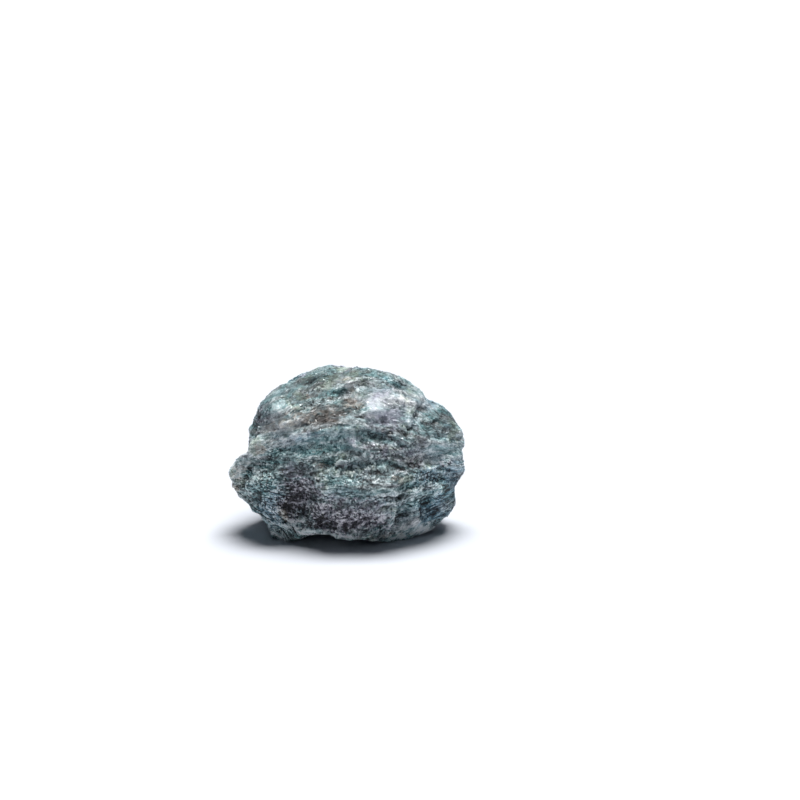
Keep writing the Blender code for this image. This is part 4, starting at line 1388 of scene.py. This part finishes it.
def crystal_finish(name, reach, lift, roughness, coat, metallic=0.0):
    """The rock's own finish, with a tone that differs by reach and is lifted, and more gloss."""
    material, graph, shader = new_material(name)
    rock = Rock(graph)
    own = graph.attribute("own_tone")
    tone = rock.tone(own * reach + lift + graph.rise(own, *PAINTED_GLINT_TONES) * PAINTED_GLINT)
    plug(graph, shader, {
        "Base Color": rock_colour(rock, tone),
        "Roughness": rock.gloss(roughness + DULLER, roughness - GLOSSIER),
        "Normal": bump(graph, rock.tilt * CRYSTAL_TILT, CRYSTAL_BUMP),
        "Coat Weight": coat,
        "Metallic": metallic,
        "IOR": CRYSTAL_IOR,
    })
    return material

# %% Where each kind grows
RUBY_ZONE = (0.25, 0.7)
VEIN = (0.3, 0.9)
IN_VEIN = 0.6
ANYWHERE = 0.2


def kyanite_share(graph):
    return graph.weighed(1.0, {"ruby": -0.75, "smooth": -0.7, "crumbly": -0.5})


def ruby_share(graph):
    return graph.rise(graph.attribute("ruby"), *RUBY_ZONE)


def mica_share(graph):
    return graph.weighed(0.4, {"ruby": 1.2, "crumbly": 0.4, "smooth": -0.25})


def quartz_share(graph):
    in_veins = graph.rise(graph.attribute("pale"), *VEIN) * IN_VEIN
    return graph.weighed(in_veins + ANYWHERE, {"crumbly": 0.5})


# %% Grow the crystals
# How far a crystal may swing about its three axes, in radians
ANY_WAY = (3.1, 3.1, 3.1)
IN_LAYER = (0.5, 0.1, 0.8)
NEARLY_FLAT = (3.1, 0.5, 0.5)

blades = grow(
    "kyanite_blades", {"Per mm2": 2.2, "Sink": 0.07, "Growth": 0.6}, kyanite_share,
    crystal_finish("kyanite_blade", reach=0.13, lift=0.0, roughness=0.45, coat=0.1),
    blade_shape, "trace", IN_LAYER,
)
rubies = grow(
    "ruby_grains", {"Per mm2": 2.0, "Sink": 0.12, "Growth": 0.8}, ruby_share,
    crystal_finish("ruby_grain", reach=0.3, lift=0.0, roughness=0.4, coat=0.1),
    barrel_shape, "trace", ANY_WAY,
)
# Mica is pale and silvery; the flakes' lift is that pale colour and in part a painted glint
flakes = grow(
    "mica_flakes", {"Per mm2": 0.45, "Sink": 0.0, "Growth": 0.7}, mica_share,
    crystal_finish("mica_flake", reach=0.2, lift=0.08, roughness=0.22, coat=0.3, metallic=0.25),
    flake_shape, "normal", NEARLY_FLAT,
)
crumbs = grow(
    "quartz_crumbs", {"Per mm2": 0.8, "Sink": 0.12, "Growth": 0.65}, quartz_share,
    crystal_finish("quartz_crumb", reach=0.22, lift=0.12, roughness=0.35, coat=0.1),
    crumb_shape, "trace", ANY_WAY,
)

# %% [markdown]
# ## Fixing the pieces to the body
#
# The stone doesn't move, so every piece rides on the one body, the root. The skin takes the place
# of the imported solid, which stays for collision but isn't shown.

# %% Ride and replace
for piece in (stone, blades, rubies, flakes, crumbs):
    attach(piece, "root")
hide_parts(NODE)

# %% [markdown]
# ## Floor and light
#
# The stone lies on a white ground that is lit to pure white. One large soft light stands above and
# a little behind the stone, so its top is bright and its front is darker, with a dark soft shadow
# under its front edge. The pale surroundings fill the rest.

# %% The floor
FLOOR_HALF = 3.0
GROUND = (0.605, 0.625, 0.67, 1.0)


def make_floor():
    mesh = bmesh.new()
    bmesh.ops.create_grid(mesh, x_segments=1, y_segments=1, size=FLOOR_HALF)
    floor = bpy.data.objects.new("floor", bpy.data.meshes.new("floor"))
    mesh.to_mesh(floor.data)
    mesh.free()
    bpy.context.scene.collection.objects.link(floor)
    material, graph, shader = new_material("white_ground")
    plug(graph, shader, {"Base Color": GROUND, "Roughness": 0.8})
    floor.data.materials.append(material)
    print("floor:", 2.0 * FLOOR_HALF, "m wide")


make_floor()

# %% The lights
LIGHT_FROM = (0.09, 0.19, 1.0)
LIGHT_SPREAD = 40.0
LIGHT_STRENGTH = 5.4
SKY = (0.72, 0.85, 1.0, 1.0)
SURROUNDINGS = 0.046


def make_lights():
    light = bpy.data.lights.new("soft_top", "SUN")
    light.angle = math.radians(LIGHT_SPREAD)
    light.energy = LIGHT_STRENGTH
    lamp = bpy.data.objects.new("soft_top", light)
    lamp.rotation_mode = "QUATERNION"
    lamp.rotation_quaternion = Vector(LIGHT_FROM).to_track_quat("Z", "Y")
    bpy.context.scene.collection.objects.link(lamp)
    world = bpy.data.worlds.new("studio")
    bpy.context.scene.world = world
    world.use_nodes = True
    background = world.node_tree.nodes["Background"]
    background.inputs["Color"].default_value = SKY
    background.inputs["Strength"].default_value = SURROUNDINGS
    print("lamp:", LIGHT_SPREAD, "degrees wide")


make_lights()
bpy.context.scene.view_settings.view_transform = "Standard"

# %% [markdown]
# ## The camera
#
# The camera looks along +Y and down by the same 16 degrees. It stands well back with a long lens,
# as for a small thing in a studio. The stone lies left of the picture's middle and below it, so the
# camera aims past it by that much.

# %% Place the camera
PICTURE = 800.0
PIXELS_PER_MM = 4.9
STONE_MIDDLE = (346.9, 452.4)
# The stone's middle in the picture is this far up and back from the origin, mm
MIDDLE_UP = 15.0
MIDDLE_BACK = 4.0
DISTANCE = 600.0
SENSOR = 36.0
CLIP = (0.01, 20.0)


def place_camera():
    data = bpy.data.cameras.new("camera")
    data.sensor_width = SENSOR
    data.lens = PIXELS_PER_MM * SENSOR * DISTANCE / PICTURE
    data.clip_start, data.clip_end = CLIP
    camera = bpy.data.objects.new("camera", data)
    bpy.context.scene.collection.objects.link(camera)
    back = Vector((0.0, -math.cos(VIEW_TILT), math.sin(VIEW_TILT)))
    up = Vector((0.0, math.sin(VIEW_TILT), math.cos(VIEW_TILT)))
    right = Vector((1.0, 0.0, 0.0))
    middle = up * (MIDDLE_UP * MM) + back * (MIDDLE_BACK * MM)
    aim_right = (PICTURE / 2.0 - STONE_MIDDLE[0]) / PIXELS_PER_MM
    aim_up = (STONE_MIDDLE[1] - PICTURE / 2.0) / PIXELS_PER_MM
    aim = middle + right * (aim_right * MM) + up * (aim_up * MM)
    camera.location = middle + back * (DISTANCE * MM)
    camera.rotation_mode = "QUATERNION"
    camera.rotation_quaternion = (aim - camera.location).to_track_quat("-Z", "Y")
    bpy.context.scene.camera = camera
    print("lens:", round(data.lens, 1), "mm")


place_camera()
